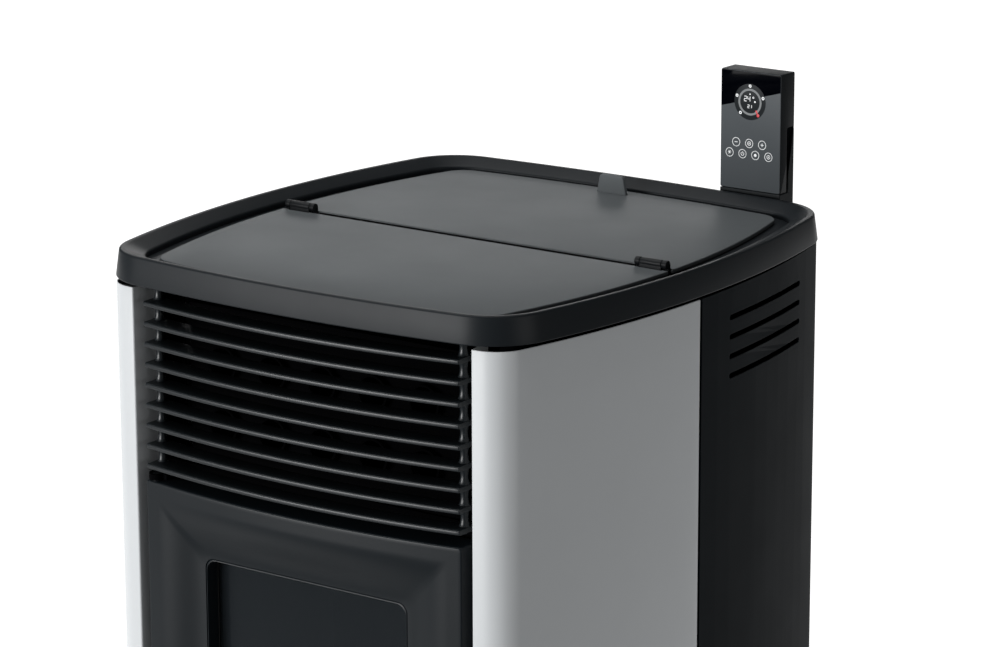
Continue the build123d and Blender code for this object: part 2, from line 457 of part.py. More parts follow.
def door():
    open_low, open_high = DOOR_LOW + WINDOW_MARGIN, DOOR_TOP - WINDOW_MARGIN
    body = bowed_slab(DOOR_HALF, -DOOR_BACK, DOOR_LOW, DOOR_TOP)
    body -= rounded_prism(WINDOW_HALF, open_low, open_high, WINDOW_CORNER, -FACE_APEX - 1, -DOOR_BACK + 1)
    dish_y = bow_y(DOOR_HALF - DISH_MARGIN)
    rim = Plane(origin=(0, dish_y, (DOOR_LOW + DOOR_TOP) / 2), x_dir=(1, 0, 0), z_dir=(0, -1, 0))
    floor = Plane(origin=(0, -DISH_FLOOR, (DOOR_LOW + DOOR_TOP) / 2), x_dir=(1, 0, 0), z_dir=(0, -1, 0))
    outer = RectangleRounded(2 * (DOOR_HALF - DISH_MARGIN), DOOR_HEIGHT - 2 * DISH_MARGIN, WINDOW_CORNER)
    inner = RectangleRounded(2 * WINDOW_HALF, DOOR_HEIGHT - 2 * WINDOW_MARGIN, WINDOW_CORNER)
    body -= loft([floor * inner, rim * outer])
    body -= extrude(rim * outer, FACE_APEX)

    lap = WINDOW_HALF + GLASS_LAP
    low, high = open_low - GLASS_LAP, open_high + GLASS_LAP
    body -= rounded_prism(lap + SEAT_GAP, low - SEAT_GAP, high + SEAT_GAP, WINDOW_CORNER, -GLASS_SEAT,
                          -DOOR_BACK + 1)
    pin_ends = ((DOOR_TOP - DOOR_PIN_IN, DOOR_TOP + DOOR_PIN_OUT),
                (DOOR_LOW + DOOR_PIN_IN, DOOR_LOW - DOOR_PIN_OUT))
    pins = [rod((DOOR_PIN_X, DOOR_PIN_Y, inner_z), (DOOR_PIN_X, DOOR_PIN_Y, outer_z), DOOR_PIN_R)
            for inner_z, outer_z in pin_ends]
    for pin in pins:
        body -= pin
    body -= rod((LATCH_X, -FACE_APEX, LATCH_Z), (LATCH_X, -DOOR_BACK + 1, LATCH_Z), LATCH_R + RUN_FIT)
    save("door_frame", body)
    save("door_hinge_pins", *pins)

    seat = rounded_prism(lap, low, high, WINDOW_CORNER, -GLASS_SEAT, -GLASS_SEAT + GLASS_GASKET_T)
    seat -= rounded_prism(WINDOW_HALF, open_low, open_high, WINDOW_CORNER, -GLASS_SEAT - 1, -DOOR_BACK)
    glass_front = -GLASS_SEAT + GLASS_GASKET_T
    save("door_glass", rounded_prism(lap, low, high, WINDOW_CORNER, glass_front, glass_front + GLASS_T))
    clips = []
    for x in (-WINDOW_HALF / 2, WINDOW_HALF / 2):
        for edge, inward in ((low, 1), (high, -1)):
            over = edge + inward * GLASS_LAP
            clip = block(x - 12, x + 12, glass_front + GLASS_T, -DOOR_BACK, edge - SEAT_GAP, over)
            clip += block(x - 12, x + 12, -DOOR_BACK, -DOOR_BACK + SHEET, edge - inward * 10, over)
            clips.append(clip)
    save("glass_clips", *clips)

    rope_low, rope_high = DOOR_LOW + ROPE_MARGIN, DOOR_TOP - ROPE_MARGIN
    rope = rounded_prism(ROPE_X + ROPE / 2, rope_low - ROPE / 2, rope_high + ROPE / 2, WINDOW_CORNER + ROPE,
                         -DOOR_BACK, -DOOR_BACK + ROPE)
    rope -= rounded_prism(ROPE_X - ROPE / 2, rope_low + ROPE / 2, rope_high - ROPE / 2, WINDOW_CORNER,
                          -DOOR_BACK - 1, -DOOR_BACK + ROPE + 1)
    save("door_gaskets", rope, seat)


def latch():
    face = bow_y(LATCH_X)
    lever_back = face - LEVER_OFF
    hook_y = -DOOR_BACK + 3.0
    shaft = rod((LATCH_X, lever_back, LATCH_Z), (LATCH_X, hook_y, LATCH_Z), LATCH_R)
    lever = rod((LATCH_X, lever_back - LEVER_T, LATCH_Z), (LATCH_X, lever_back, LATCH_Z), LEVER_W / 2 + 2)
    bar = Pos(LATCH_X, lever_back, LATCH_Z) * Rot(90, 0, 0) * extrude(
        Pos(0, -LEVER_LENGTH / 2) * SlotOverall(LEVER_LENGTH + LEVER_W, LEVER_W, rotation=90), LEVER_T)
    save("door_handle", lever + bar)
    finger = block(-HOOK_W / 2, HOOK_W / 2, hook_y, hook_y + HOOK_T, 0, HOOK_REACH)
    hub = rod((0, hook_y, 0), (0, hook_y + HOOK_T, 0), HOOK_W)
    save("latch_shaft", shaft + Pos(LATCH_X, 0, LATCH_Z) * Rot(0, 90 - LATCH_ANGLE, 0) * (finger + hub))
    stem_x = LATCH_X + HOOK_REACH + 1
    lip_front = -DOOR_BACK + 0.5
    low, high = LATCH_Z - KEEPER_HALF, LATCH_Z + KEEPER_HALF
    stem = block(stem_x, stem_x + KEEPER_T, lip_front, SEAL_Y, low, high)
    lip = block(stem_x - KEEPER_LAP, stem_x, lip_front, hook_y - SEAT_GAP, low, high)
    return [stem, lip]


# ---------------------------------------------------------------- firebox
def firebox(keeper):
    plate = block(-FRAME_PLATE_HALF, FRAME_PLATE_HALF, SEAL_Y, FIRE_FRONT, FIRE_LOW, SLAT_LOWEST)
    plate -= block(-FIRE_OPEN_HALF, FIRE_OPEN_HALF, SEAL_Y, FIRE_FRONT, FIRE_OPEN_LOW, FIRE_OPEN_HIGH)
    bracket_gap = DOOR_PIN_OUT - BRACKET_T
    ear_x0, ear_x1 = DOOR_PIN_X - BRACKET_SIDE, DOOR_PIN_X + BRACKET_LAP
    lower_ear = DOOR_LOW - bracket_gap - BRACKET_T
    for z0 in (DOOR_TOP + bracket_gap, lower_ear):
        axis = (DOOR_PIN_X, DOOR_PIN_Y, z0), (DOOR_PIN_X, DOOR_PIN_Y, z0 + BRACKET_T)
        ear = block(ear_x0, ear_x1, DOOR_PIN_Y, SEAL_Y, z0, z0 + BRACKET_T)
        ear += rod(*axis, BRACKET_T + DOOR_PIN_R / 2)
        plate += ear - rod(*axis, DOOR_PIN_R + RUN_FIT)
    plate += block(ear_x0, ear_x1, SEAL_Y, FIRE_FRONT, lower_ear, FIRE_LOW)
    save("firebox_front_frame", plate, *keeper)

    inner_half, inner_back = FIRE_HALF - STEEL, FIRE_BACK - STEEL
    front_low = SLAT_LOWEST - FRONT_SHEET_LAP
    front = block(-inner_half, inner_half, FIRE_FRONT, FIRE_FRONT + STEEL, front_low, FIRE_TOP - STEEL)
    back = block(-inner_half, inner_half, inner_back, FIRE_BACK, FIRE_LOW + STEEL, FIRE_TOP - STEEL)
    side = block(inner_half, FIRE_HALF, FIRE_FRONT, FIRE_BACK, FIRE_LOW, FIRE_TOP)
    top_sheet = block(-inner_half, inner_half, FIRE_FRONT, FIRE_BACK, FIRE_TOP - STEEL, FIRE_TOP)
    bottom = block(-inner_half, inner_half, FIRE_FRONT, FIRE_BACK, FIRE_LOW, FIRE_LOW + STEEL)
    lining_back_y = inner_back - LINING_T
    lining = block(-inner_half, inner_half, lining_back_y, inner_back, FIRE_LOW + STEEL, BAFFLE_Z)
    tubes = []
    for z in TUBE_ROWS:
        for index in range(TUBE_COUNT):
            x = (index - (TUBE_COUNT - 1) / 2) * TUBE_STEP
            ends = (x, FIRE_FRONT - TUBE_STAND, z), (x, FIRE_BACK + TUBE_STAND, z)
            tubes.append(pipe(*ends, TUBE_R, TUBE_WALL))
            front -= rod(*ends, TUBE_R)
            back -= rod(*ends, TUBE_R)
    save("exchanger_tubes", *tubes)

    inlet = rod((INLET_X, lining_back_y - 1, INLET_Z), (INLET_X, FIRE_BACK + 1, INLET_Z), INLET_R - INLET_WALL)
    smoke_way = block(-DUCT_HALF + 8, DUCT_HALF - 8, lining_back_y - 1, FIRE_BACK + 1, SMOKE_LOW, SMOKE_HIGH)
    chute_way = rod(CHUTE_HIGH, CHUTE_LOW, CHUTE_R + CHUTE_WALL)
    back -= inlet + smoke_way + chute_way
    lining -= inlet + smoke_way + chute_way
    third = POT_SIZE / 3
    bottom -= block(-third, third, POT_Y - third, POT_Y + third, FIRE_LOW, FIRE_LOW + STEEL)
    save("firebox_shell", front, back, side, mirrored(side), top_sheet, bottom)
    igniter_end = POT_Y + POT_SIZE / 2 - POT_LIP + HOLDER_WALL
    save("igniter", rod((0, igniter_end, IGNITER_Z), (0, lining_back_y, IGNITER_Z), IGNITER_R))

    cheek = block(inner_half - LINING_T, inner_half, FIRE_FRONT + STEEL, lining_back_y, FIRE_LOW + STEEL,
                  BAFFLE_Z)
    save("firebox_lining", lining, cheek, mirrored(cheek))
    save("flame_baffle", block(-inner_half, inner_half, FIRE_FRONT + STEEL + BAFFLE_GAP, inner_back, BAFFLE_Z,
                               BAFFLE_Z + BAFFLE_T))


def burn_pot():
    half = POT_SIZE / 2
    bottom = POT_SEAT - POT_HEIGHT + POT_WALL
    wall_half = half - POT_LIP
    cup = block(-wall_half, wall_half, POT_Y - wall_half, POT_Y + wall_half, bottom, POT_SEAT + POT_WALL)
    cup += block(-half, half, POT_Y - half, POT_Y + half, POT_SEAT, POT_SEAT + POT_WALL)
    hollow = wall_half - POT_WALL
    cup -= block(-hollow, hollow, POT_Y - hollow, POT_Y + hollow, bottom + POT_WALL, POT_SEAT + POT_WALL)
    for row in range(3):
        for column in range(3):
            at = ((column - 1) * hollow / 2, POT_Y + (row - 1) * hollow / 2)
            cup -= rod((*at, bottom), (*at, bottom + POT_WALL), 3.0)
    save("burn_pot", cup)

    seat = POT_SEAT - SEAT_GAP
    hold = block(-half, half, POT_Y - half, POT_Y + half, FIRE_LOW + STEEL, seat)
    room = wall_half + 2.0
    hold -= block(-room, room, POT_Y - room, POT_Y + room, FIRE_LOW + STEEL, seat)
    hold -= rod((0, POT_Y, IGNITER_Z), (0, POT_Y + POT_SIZE, IGNITER_Z), IGNITER_R + 1)
    save("burn_pot_holder", hold)


def ash_drawer():
    box_top = DRAWER_FRONT_TOP - 2.0
    box_low = box_top - DRAWER_HEIGHT
    front_back = bow_y(DOOR_HALF) + SHEET * 2 + 2
    tray = block(-DRAWER_HALF, DRAWER_HALF, front_back, front_back + DRAWER_DEPTH, box_low, box_top)
    tray -= block(-DRAWER_HALF + DRAWER_WALL, DRAWER_HALF - DRAWER_WALL, front_back + DRAWER_WALL,
                  front_back + DRAWER_DEPTH - DRAWER_WALL, box_low + DRAWER_WALL, box_top)
    save("ash_drawer", tray)
    front = bowed_slab(DOOR_HALF, front_back, DRAWER_FRONT_LOW, DRAWER_FRONT_TOP)
    front -= block(-PULL_HALF, PULL_HALF, -FACE_APEX - 1, -FACE_APEX + 3 * PULL_DEPTH, DRAWER_FRONT_TOP - 22,
                   DRAWER_FRONT_TOP - 8)
    save("ash_drawer_front", front)
    runners = []
    post_front, post_rear = POST_FRONT_Y + RUNNER_POST_IN, FIRE_BACK - RUNNER_POST
    for side in (-1, 1):
        outer = side * (DRAWER_HALF + RUNNER)
        gap = side * (DRAWER_HALF + SEAT_GAP)
        wall = block(gap, outer, front_back + 12, FIRE_BACK - 10, box_low - SEAT_GAP - STEEL, box_top)
        shelf = block(side * (DRAWER_HALF - RUNNER), outer, front_back + 12, FIRE_BACK - 10,
                      box_low - SEAT_GAP - STEEL, box_low - SEAT_GAP)
        runner = wall + shelf
        for y in (post_front, post_rear - RUNNER_POST):
            runner += block(side * (DRAWER_HALF + 2), outer, y, y + RUNNER_POST, BASE_TOP,
                            box_low - SEAT_GAP - STEEL)
        hanger = block(side * (DRAWER_HALF + 2), outer, post_front, post_rear, box_top, FIRE_LOW)
        runners.append(runner + hanger)
    save("drawer_runners", *runners)


# ---------------------------------------------------------------- hopper and auger
def hopper():
    mouth_mid = (MOUTH_FRONT + MOUTH_BACK) / 2
    wide, deep = 2 * MOUTH_HALF, MOUTH_BACK - MOUTH_FRONT

    def funnel(grow, z_extra):
        top_size = (wide + 2 * grow, deep + 2 * grow)
        shoulder = Pos(0, mouth_mid, HOPPER_SHOULDER) * Rectangle(*top_size)
        neck = Pos(0, NECK_Y, HOPPER_NECK) * Rectangle(2 * (NECK_HALF + grow), 2 * (NECK_HALF + grow))
        box = extrude(shoulder, FRAME_BOTTOM + SHEET - HOPPER_SHOULDER + z_extra)
        return box + loft([neck, shoulder]) + extrude(neck, -(HOPPER_NECK - NECK_END) - z_extra)

    shell = funnel(0, 0) + ring(FLANGE, -1, FRAME_BOTTOM, FRAME_BOTTOM + SHEET)
    bar_z = FRAME_BOTTOM - 30.0
    bars = []
    for index in range(GRID_BARS):
        y = MOUTH_FRONT + deep * (index + 1) / (GRID_BARS + 1)
        bars.append(rod((-MOUTH_HALF + SHEET, y, bar_z), (MOUTH_HALF - SHEET, y, bar_z), GRID_BAR_R))
    shell -= funnel(-SHEET, 1)
    save("hopper", shell.fuse(*bars))


def auger():
    along = Vector(0, -1, 1).normalized()
    low = Vector(*AUGER_LOW)
    high = low + along * AUGER_LENGTH
    body = rod(low, high, AUGER_R)
    collar = block(-NECK_HALF - AUGER_WALL, NECK_HALF + AUGER_WALL, NECK_Y - NECK_HALF - AUGER_WALL,
                   NECK_Y + NECK_HALF + AUGER_WALL, AUGER_LOW[2] + AUGER_COLLAR, NECK_END)
    bore = rod(low + along * AUGER_WALL, high - along * AUGER_WALL, AUGER_R - AUGER_WALL)
    way_half = NECK_HALF - SHEET
    way_in = block(-way_half, way_half, NECK_Y - way_half, NECK_Y + way_half, AUGER_LOW[2] + AUGER_COLLAR,
                   NECK_END)
    journal = rod(low, high, SCREW_SHAFT_R / 2 + RUN_FIT)
    chute_bore = rod(CHUTE_HIGH, CHUTE_LOW, CHUTE_R)
    save("auger_tube", body + collar - bore - way_in - journal - chute_bore)

    shaft_r = SCREW_SHAFT_R / 2
    start, length = low + along * (AUGER_WALL + 1), AUGER_LENGTH - 2 * AUGER_WALL - 2
    blade = Rectangle(2 * SCREW_R, SCREW_BLADE) & Circle(SCREW_R)
    section = blade + Circle(SCREW_SHAFT_R)
    flight = Solid.extrude_linear_with_rotation(section.face(), (0, 0, 0), (0, 0, length), 360 * SCREW_TURNS)
    screw = Plane(origin=start, x_dir=(1, 0, 0), z_dir=along) * Part(flight.wrapped)
    save("auger_screw", screw + rod(low - along * 12, high, shaft_r))

    gear_low = low - along * (GEARBOX_T + 14)
    turned = Plane(origin=gear_low, x_dir=(1, 0, 0), z_dir=along)
    gearbox = extrude(turned * Rectangle(2 * GEARBOX_HALF, 2 * GEARBOX_HALF), GEARBOX_T)
    stand = pipe(gear_low + along * GEARBOX_T, low, AUGER_R - 4, 3.0)
    motor = rod(gear_low - along * MOTOR_T, gear_low, MOTOR_R)
    save("auger_gearmotor", gearbox + motor + stand)

    outer = rod(CHUTE_HIGH, CHUTE_LOW, CHUTE_R + CHUTE_WALL)
    chute = outer - rod(CHUTE_HIGH, CHUTE_LOW, CHUTE_R) - body
    save("pellet_chute", chute.solids().sort_by(Axis.Y)[0])


# ---------------------------------------------------------------- smoke path and combustion air
def smoke_path():
    inner_r = FAN_R - SHEET
    x0, x1 = FAN_X, FAN_X + FAN_WIDTH
    out_low = FAN_Z - FAN_R
    scroll = rod((x0, FAN_Y, FAN_Z), (x1, FAN_Y, FAN_Z), FAN_R)
    scroll += block(x0, x1, FAN_Y, OUTLET_END, out_low, out_low + OUTLET_HEIGHT)
    room = rod((x0 + SHEET, FAN_Y, FAN_Z), (x1 - SHEET, FAN_Y, FAN_Z), inner_r)
    room += block(x0 + SHEET, x1 - SHEET, FAN_Y, OUTLET_END + 1, out_low + SHEET,
                  out_low + OUTLET_HEIGHT - SHEET)
    housing = scroll - room
    housing -= rod((x0 - 1, FAN_Y, FAN_Z), (x0 + SHEET, FAN_Y, FAN_Z), IMPELLER_R / 2)
    housing -= rod((x1 - SHEET, FAN_Y, FAN_Z), (x1, FAN_Y, FAN_Z), FAN_SHAFT_R + 1)
    duct = block(-DUCT_HALF, x0, FIRE_BACK, FIRE_BACK + DUCT_DEPTH, DUCT_BOTTOM, DUCT_TOP)
    duct -= block(-DUCT_HALF + SHEET, x0 - SHEET, FIRE_BACK + SHEET, FIRE_BACK + DUCT_DEPTH - SHEET,
                  DUCT_BOTTOM + SHEET, DUCT_TOP - SHEET)
    duct -= block(-DUCT_HALF + 8, DUCT_HALF - 8, FIRE_BACK - 1, FIRE_BACK + SHEET, SMOKE_LOW, SMOKE_HIGH)
    duct -= rod((x0 - SHEET, FAN_Y, FAN_Z), (x0, FAN_Y, FAN_Z), IMPELLER_R / 2)
    save("smoke_fan_housing", housing + duct)

    blade_x0, blade_x1 = x0 + SHEET + 5, x1 - SHEET - 6
    wheel = rod((blade_x1, FAN_Y, FAN_Z), (blade_x1 + 2, FAN_Y, FAN_Z), IMPELLER_R)
    wheel += rod((blade_x0 + 8, FAN_Y, FAN_Z), (x1 + 14, FAN_Y, FAN_Z), FAN_SHAFT_R)
    for index in range(IMPELLER_BLADES):
        blade = block(blade_x0, blade_x1, FAN_Y - 1, FAN_Y + 1, FAN_Z + IMPELLER_R / 2, FAN_Z + IMPELLER_R - 2)
        wheel += blade.rotate(Axis((0, FAN_Y, FAN_Z), (1, 0, 0)), index * 360 / IMPELLER_BLADES)
    save("smoke_fan_impeller", wheel)

    motor = rod((x1 + 4, FAN_Y, FAN_Z), (x1 + 4 + FAN_MOTOR_T, FAN_Y, FAN_Z), FAN_MOTOR_R)
    motor -= rod((x1 + 4, FAN_Y, FAN_Z), (x1 + 16, FAN_Y, FAN_Z), FAN_SHAFT_R + RUN_FIT)
    for dy, dz in ((-26, -26), (-26, 26), (26, -26), (26, 26)):
        motor += rod((x1, FAN_Y + dy, FAN_Z + dz), (x1 + 4, FAN_Y + dy, FAN_Z + dz), 4.0)
    save("smoke_fan_motor", motor)

    flange_half, flange_front = FLUE_R + FLANGE_RIM, OUTLET_END + FLANGE_PLATE_T
    flange = block(DUCT_MIDDLE - flange_half, DUCT_MIDDLE + flange_half, OUTLET_END, flange_front,
                   out_low - FLANGE_RIM, FLUE_Z + flange_half)
    stub_ends = (DUCT_MIDDLE, flange_front, FLUE_Z), (DUCT_MIDDLE, FLUE_REACH, FLUE_Z)
    mouth = block(x0 + SHEET, x1 - SHEET, OUTLET_END, flange_front, out_low + SHEET,
                  out_low + OUTLET_HEIGHT - SHEET)
    mouth &= rod((DUCT_MIDDLE, OUTLET_END, FLUE_Z), (DUCT_MIDDLE, flange_front, FLUE_Z), FLUE_R - FLUE_WALL)
    save("flue_outlet", flange - mouth + pipe(*stub_ends, FLUE_R, FLUE_WALL))
    save("air_inlet", pipe((INLET_X, FIRE_BACK, INLET_Z), (INLET_X, INLET_REACH, INLET_Z), INLET_R, INLET_WALL))


# ---------------------------------------------------------------- room fan
def room_fan():
    y, z, r = ROOM_FAN_Y, ROOM_FAN_Z, ROOM_FAN_R
    left, right = ROOM_FAN_LEFT, ROOM_FAN_LEFT + ROOM_FAN_LENGTH
    room = r + ROOM_CASE_CLEAR
    case = block(left, right, y - room - SHEET, y + room + SHEET, z - room - SHEET, z + room)
    case -= block(left + SHEET, right - SHEET, y - room, y + room, z - room, z + room + 1)
    case -= block(left + 15, right - 15, y + room - 1, y + room + SHEET, z - 18, z + 18)
    case -= rod((left, y, z), (right, y, z), FAN_SHAFT_R + RUN_FIT)
    for x in (left + 20, right - 20):
        case += block(x - 8, x + 8, y - 10, y + 10, BASE_TOP, z - room - SHEET)
    save("room_fan_housing", case)

    inner, outer = left + SHEET + 4, right - SHEET - 4
    drum = rod((left - 16, y, z), (right, y, z), FAN_SHAFT_R)
    for x in (inner, outer - 2):
        drum += rod((x, y, z), (x + 2, y, z), r)
    for index in range(ROOM_FAN_BLADES):
        vane = block(inner, outer, y - 0.8, y + 0.8, z + r * 0.72, z + r - 0.5)
        drum += vane.rotate(Axis((0, y, z), (1, 0, 0)), index * 360 / ROOM_FAN_BLADES)
    save("room_fan_rotor", drum)

    motor = rod((left - 4 - ROOM_MOTOR_T, y, z), (left - 4, y, z), ROOM_MOTOR_R)
    motor -= rod((left - 18, y, z), (left - 4, y, z), FAN_SHAFT_R + RUN_FIT)
    for dy, dz in ((-16, -16), (-16, 16), (16, -16), (16, 16)):
        motor += rod((left - 4, y + dy, z + dz), (left, y + dy, z + dz), 3.0)
    save("room_fan_motor", motor)


# ---------------------------------------------------------------- electrics
def back_y(x):
    """Y of the back panel's outer face at x."""
    half_d = HALF_DEPTH - CASE_INSET
    xc = HALF_WIDTH - CASE_INSET - SIDE_BOW
    radius = (xc**2 + BACK_BOW**2) / (2 * BACK_BOW)
    return half_d - radius + sqrt(radius**2 - x**2)


def electrics():
    wide, deep, tall = BOX_SIZE
    case = block(BOX_X, BOX_X + wide, BOX_Y, BOX_Y + deep, BOX_Z, BOX_Z + tall)
    case -= block(BOX_X + SHEET, BOX_X + wide - SHEET, BOX_Y + SHEET, BOX_Y + deep - SHEET, BOX_Z + SHEET,
                  BOX_Z + tall - SHEET)
    tab = block(BOX_X + 5, POST_X - POST_T, BOX_Y + deep, POST_REAR_Y - POST_LEG, BOX_Z + tall / 2 - 10,
                BOX_Z + tall / 2 + 10)
    post_tab = block(POST_X - 12, POST_X - POST_T, BOX_Y + deep, POST_REAR_Y - POST_T, BOX_Z + tall / 2 - 10,
                     BOX_Z + tall / 2 + 10)
    save("control_box", case + tab + post_tab)
    board_x, face_x = BOX_X + BOARD_OFF, BOX_X + BOARD_OFF + BOARD_T
    board = block(board_x, face_x, BOX_Y + BOARD_MARGIN, BOX_Y + deep - BOARD_MARGIN, BOX_Z + BOARD_MARGIN,
                  BOX_Z + tall - BOARD_MARGIN)
    for along, up, size in ((0.23, 0.25, 22), (0.61, 0.375, 28), (0.46, 0.69, 18)):
        y, z = BOX_Y + deep * along, BOX_Z + tall * up
        board += block(face_x, face_x + size / 2, y, y + size, z, z + size)
    stud_in = 2 * BOARD_MARGIN
    for y in (BOX_Y + stud_in, BOX_Y + deep - stud_in):
        for z in (BOX_Z + stud_in, BOX_Z + tall - stud_in):
            board += rod((BOX_X + SHEET, y, z), (board_x, y, z), 3.0)
    save("control_board", board)

    wide, deep, tall = SOCKET_SIZE
    face = back_y(SOCKET_X) + 2
    body = block(SOCKET_X - wide / 2 + SEAT_GAP, SOCKET_X + wide / 2 - SEAT_GAP, face - deep, face,
                 SOCKET_Z - tall / 2 + SEAT_GAP, SOCKET_Z + tall / 2 - SEAT_GAP)
    lip = block(SOCKET_X - wide / 2 - 3, SOCKET_X + wide / 2 + 3, face, face + 2.5, SOCKET_Z - tall / 2 - 3,
                SOCKET_Z + tall / 2 + 3)
    hollow = block(SOCKET_X - 10, SOCKET_X + 10, face - 14, face + 3, SOCKET_Z - 19, SOCKET_Z - 4)
    rocker_hole = block(SOCKET_X - 7, SOCKET_X + 7, face - 14, face + 3, SOCKET_Z + 2, SOCKET_Z + 20)
    inlet = body + lip - hollow - rocker_hole
    for dx in (-5, 0, 5):
        inlet += block(SOCKET_X + dx - 1, SOCKET_X + dx + 1, face - 14, face - 3, SOCKET_Z - 14, SOCKET_Z - 9)
    pivot_y, pivot_z = face - 3.0, SOCKET_Z + 11
    axle = rod((SOCKET_X - 7, pivot_y, pivot_z), (SOCKET_X + 7, pivot_y, pivot_z), 1.2)
    save("power_inlet", inlet + axle)
    rocker = rod((SOCKET_X - 6.5, pivot_y, pivot_z), (SOCKET_X + 6.5, pivot_y, pivot_z), 6.0)
    rocker += block(SOCKET_X - 6.5, SOCKET_X + 6.5, pivot_y - 2, pivot_y + 4.5, pivot_z - 7, pivot_z + 7)
    rocker -= rod((SOCKET_X - 7, pivot_y, pivot_z), (SOCKET_X + 7, pivot_y, pivot_z), 1.2 + RUN_FIT)
    save("power_switch", rocker)

    face = back_y(RESET_X - RESET_R - 4)
    guard = rod((RESET_X, face - 16, RESET_Z), (RESET_X, face, RESET_Z), RESET_R + 0.5)
    guard += rod((RESET_X, face, RESET_Z), (RESET_X, face + 2, RESET_Z), RESET_R + 4)
    guard -= rod((RESET_X, face - 12, RESET_Z), (RESET_X, face + 2, RESET_Z), RESET_R - 2)
    guard += rod((RESET_X, face - 16, RESET_Z), (RESET_X, face - 12, RESET_Z), RESET_R + 0.5)
    save("reset_thermostat", guard)
    save("reset_button", rod((RESET_X, face - 12 + RESET_TRAVEL + 0.5, RESET_Z), (RESET_X, face + 5, RESET_Z),
                             RESET_R - 2 - SEAT_GAP))


# ---------------------------------------------------------------- control panel and its cradle
def remote():
    x0, x1 = REMOTE_LEFT, REMOTE_LEFT + REMOTE_WIDTH
    y0, y1 = REMOTE_FRONT, REMOTE_BACK
    mid = y0 + REMOTE_T
    head_low = REMOTE_Z - REMOTE_HEAD
    slab = block(x0, x1, y0 + SCREEN_T, mid, REMOTE_BOTTOM, REMOTE_Z)
    head = block(x0, x1, mid, y1, head_low, REMOTE_Z)
    body = slab + head
    body = fillet(body.edges().filter_by(Axis.Z).group_by(Axis.Y)[-1], REMOTE_EDGE)
    save("remote_body", body)
    save("remote_face", block(x0, x1, y0, y0 + SCREEN_T, REMOTE_BOTTOM, REMOTE_Z))

    back = block(x0, x1, mid + REMOTE_SLOT, y1, REMOTE_BOTTOM - CRADLE_SHELF, head_low - SEAT_GAP)
    shelf = block(x0, x1, y0, mid + REMOTE_SLOT, REMOTE_BOTTOM - CRADLE_SHELF, REMOTE_BOTTOM - SEAT_GAP)
    wall_y = back_y(x1)
    arm_top = REMOTE_BOTTOM - CRADLE_SHELF
    arm_low = arm_top - CRADLE_ARM
    stem = block(x0, x1, y0 + CRADLE_SHELF, y1, arm_low, arm_top)
    foot = block(x0, x1, wall_y - CRADLE_LAP, y1, arm_low, CASE_TOP - CRADLE_SHELF)
    foot -= extrude(plan(CASE_INSET, CASE_INSET, CASE_CORNER, arm_low), CRADLE_ARM)
    save("remote_cradle", back + shelf + stem + foot)


chassis()
top()
casing()
grille()
door()
firebox(latch())
burn_pot()
ash_drawer()
hopper()
auger()
smoke_path()
room_fan()
electrics()
remote()
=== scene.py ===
# %% [markdown]
# # Dressing a pellet stove
# The stove's solids are packed already, in metres, standing on the floor with the door towards -Y.
# They are loaded as a fixed frame: nothing in it is moved here. This lesson gives every piece the
# finish of the real one. Where the photograph shows softer edges than the solids have, it works out
# a finer surface that stands in the same place.

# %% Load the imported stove
import json
import math

import bmesh
import bpy
import numpy as np
from mathutils import Matrix, Vector

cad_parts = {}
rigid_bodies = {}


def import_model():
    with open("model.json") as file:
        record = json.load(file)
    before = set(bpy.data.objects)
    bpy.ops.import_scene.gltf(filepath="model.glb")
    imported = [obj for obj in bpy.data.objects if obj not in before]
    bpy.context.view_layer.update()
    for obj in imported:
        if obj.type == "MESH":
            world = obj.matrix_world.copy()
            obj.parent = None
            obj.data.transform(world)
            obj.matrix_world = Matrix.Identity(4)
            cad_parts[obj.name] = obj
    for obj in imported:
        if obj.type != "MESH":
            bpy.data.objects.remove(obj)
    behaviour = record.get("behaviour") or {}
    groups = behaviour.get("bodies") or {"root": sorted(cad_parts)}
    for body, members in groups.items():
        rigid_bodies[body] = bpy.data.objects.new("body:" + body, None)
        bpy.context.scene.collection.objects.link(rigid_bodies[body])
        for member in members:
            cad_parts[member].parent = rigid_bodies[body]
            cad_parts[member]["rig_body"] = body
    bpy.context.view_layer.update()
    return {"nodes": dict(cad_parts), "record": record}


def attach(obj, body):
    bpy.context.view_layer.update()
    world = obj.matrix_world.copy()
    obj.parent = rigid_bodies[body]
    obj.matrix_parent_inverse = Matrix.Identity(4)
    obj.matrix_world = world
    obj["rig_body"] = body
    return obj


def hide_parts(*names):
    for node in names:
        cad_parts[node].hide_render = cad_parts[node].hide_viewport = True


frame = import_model()

# %% [markdown]
# ## Sizes
# The finer surfaces have to lie where the solids are, so they start from the same sizes, in
# millimetres. x = y = 0 is the middle of the top frame's plan. The solids' own origin lies a little
# behind it, and one number shifts all pieces. Sizes of one piece alone stand in that piece's cell.

# %% Sizes in millimetres
PLAN_SHIFT = 16.3
HALF_WIDTH, HALF_DEPTH, RIM_TOP = 250.0, 267.4, 950.0
FRONT_BOW, SIDE_BOW, BACK_BOW = 16.0, 33.0, 10.0
FRAME_BOTTOM, PANEL_TOP, PANEL_T = 924.9, 941.7, 4.0
FACE_APEX, FACE_BOW, SLAT_HALF = 266.5, 15.5, 170.8
DOOR_HALF, DOOR_LOW, DOOR_TOP, DOOR_BACK = 172.6, 330.1, 748.1, 225.0
CASE_LOW, CASE_TOP, SHEET = 32.0, 920.5, 1.5
HINGE_X, HINGE_Z, BARREL_HALF = 194.0, 945.8, 11.0
KNUCKLE_OUT, KNUCKLE_HALF = 13.9, 2.6
print("rim at", RIM_TOP, "mm, door", DOOR_TOP - DOOR_LOW, "mm tall")

# %% [markdown]
# ## Building blocks
# Every new piece is a grid of points: rows and columns worked out as whole arrays, then joined by
# four-sided faces. A list of loose faces would do as well, but a grid keeps the flow of the surface
# even, and that keeps highlights clean.


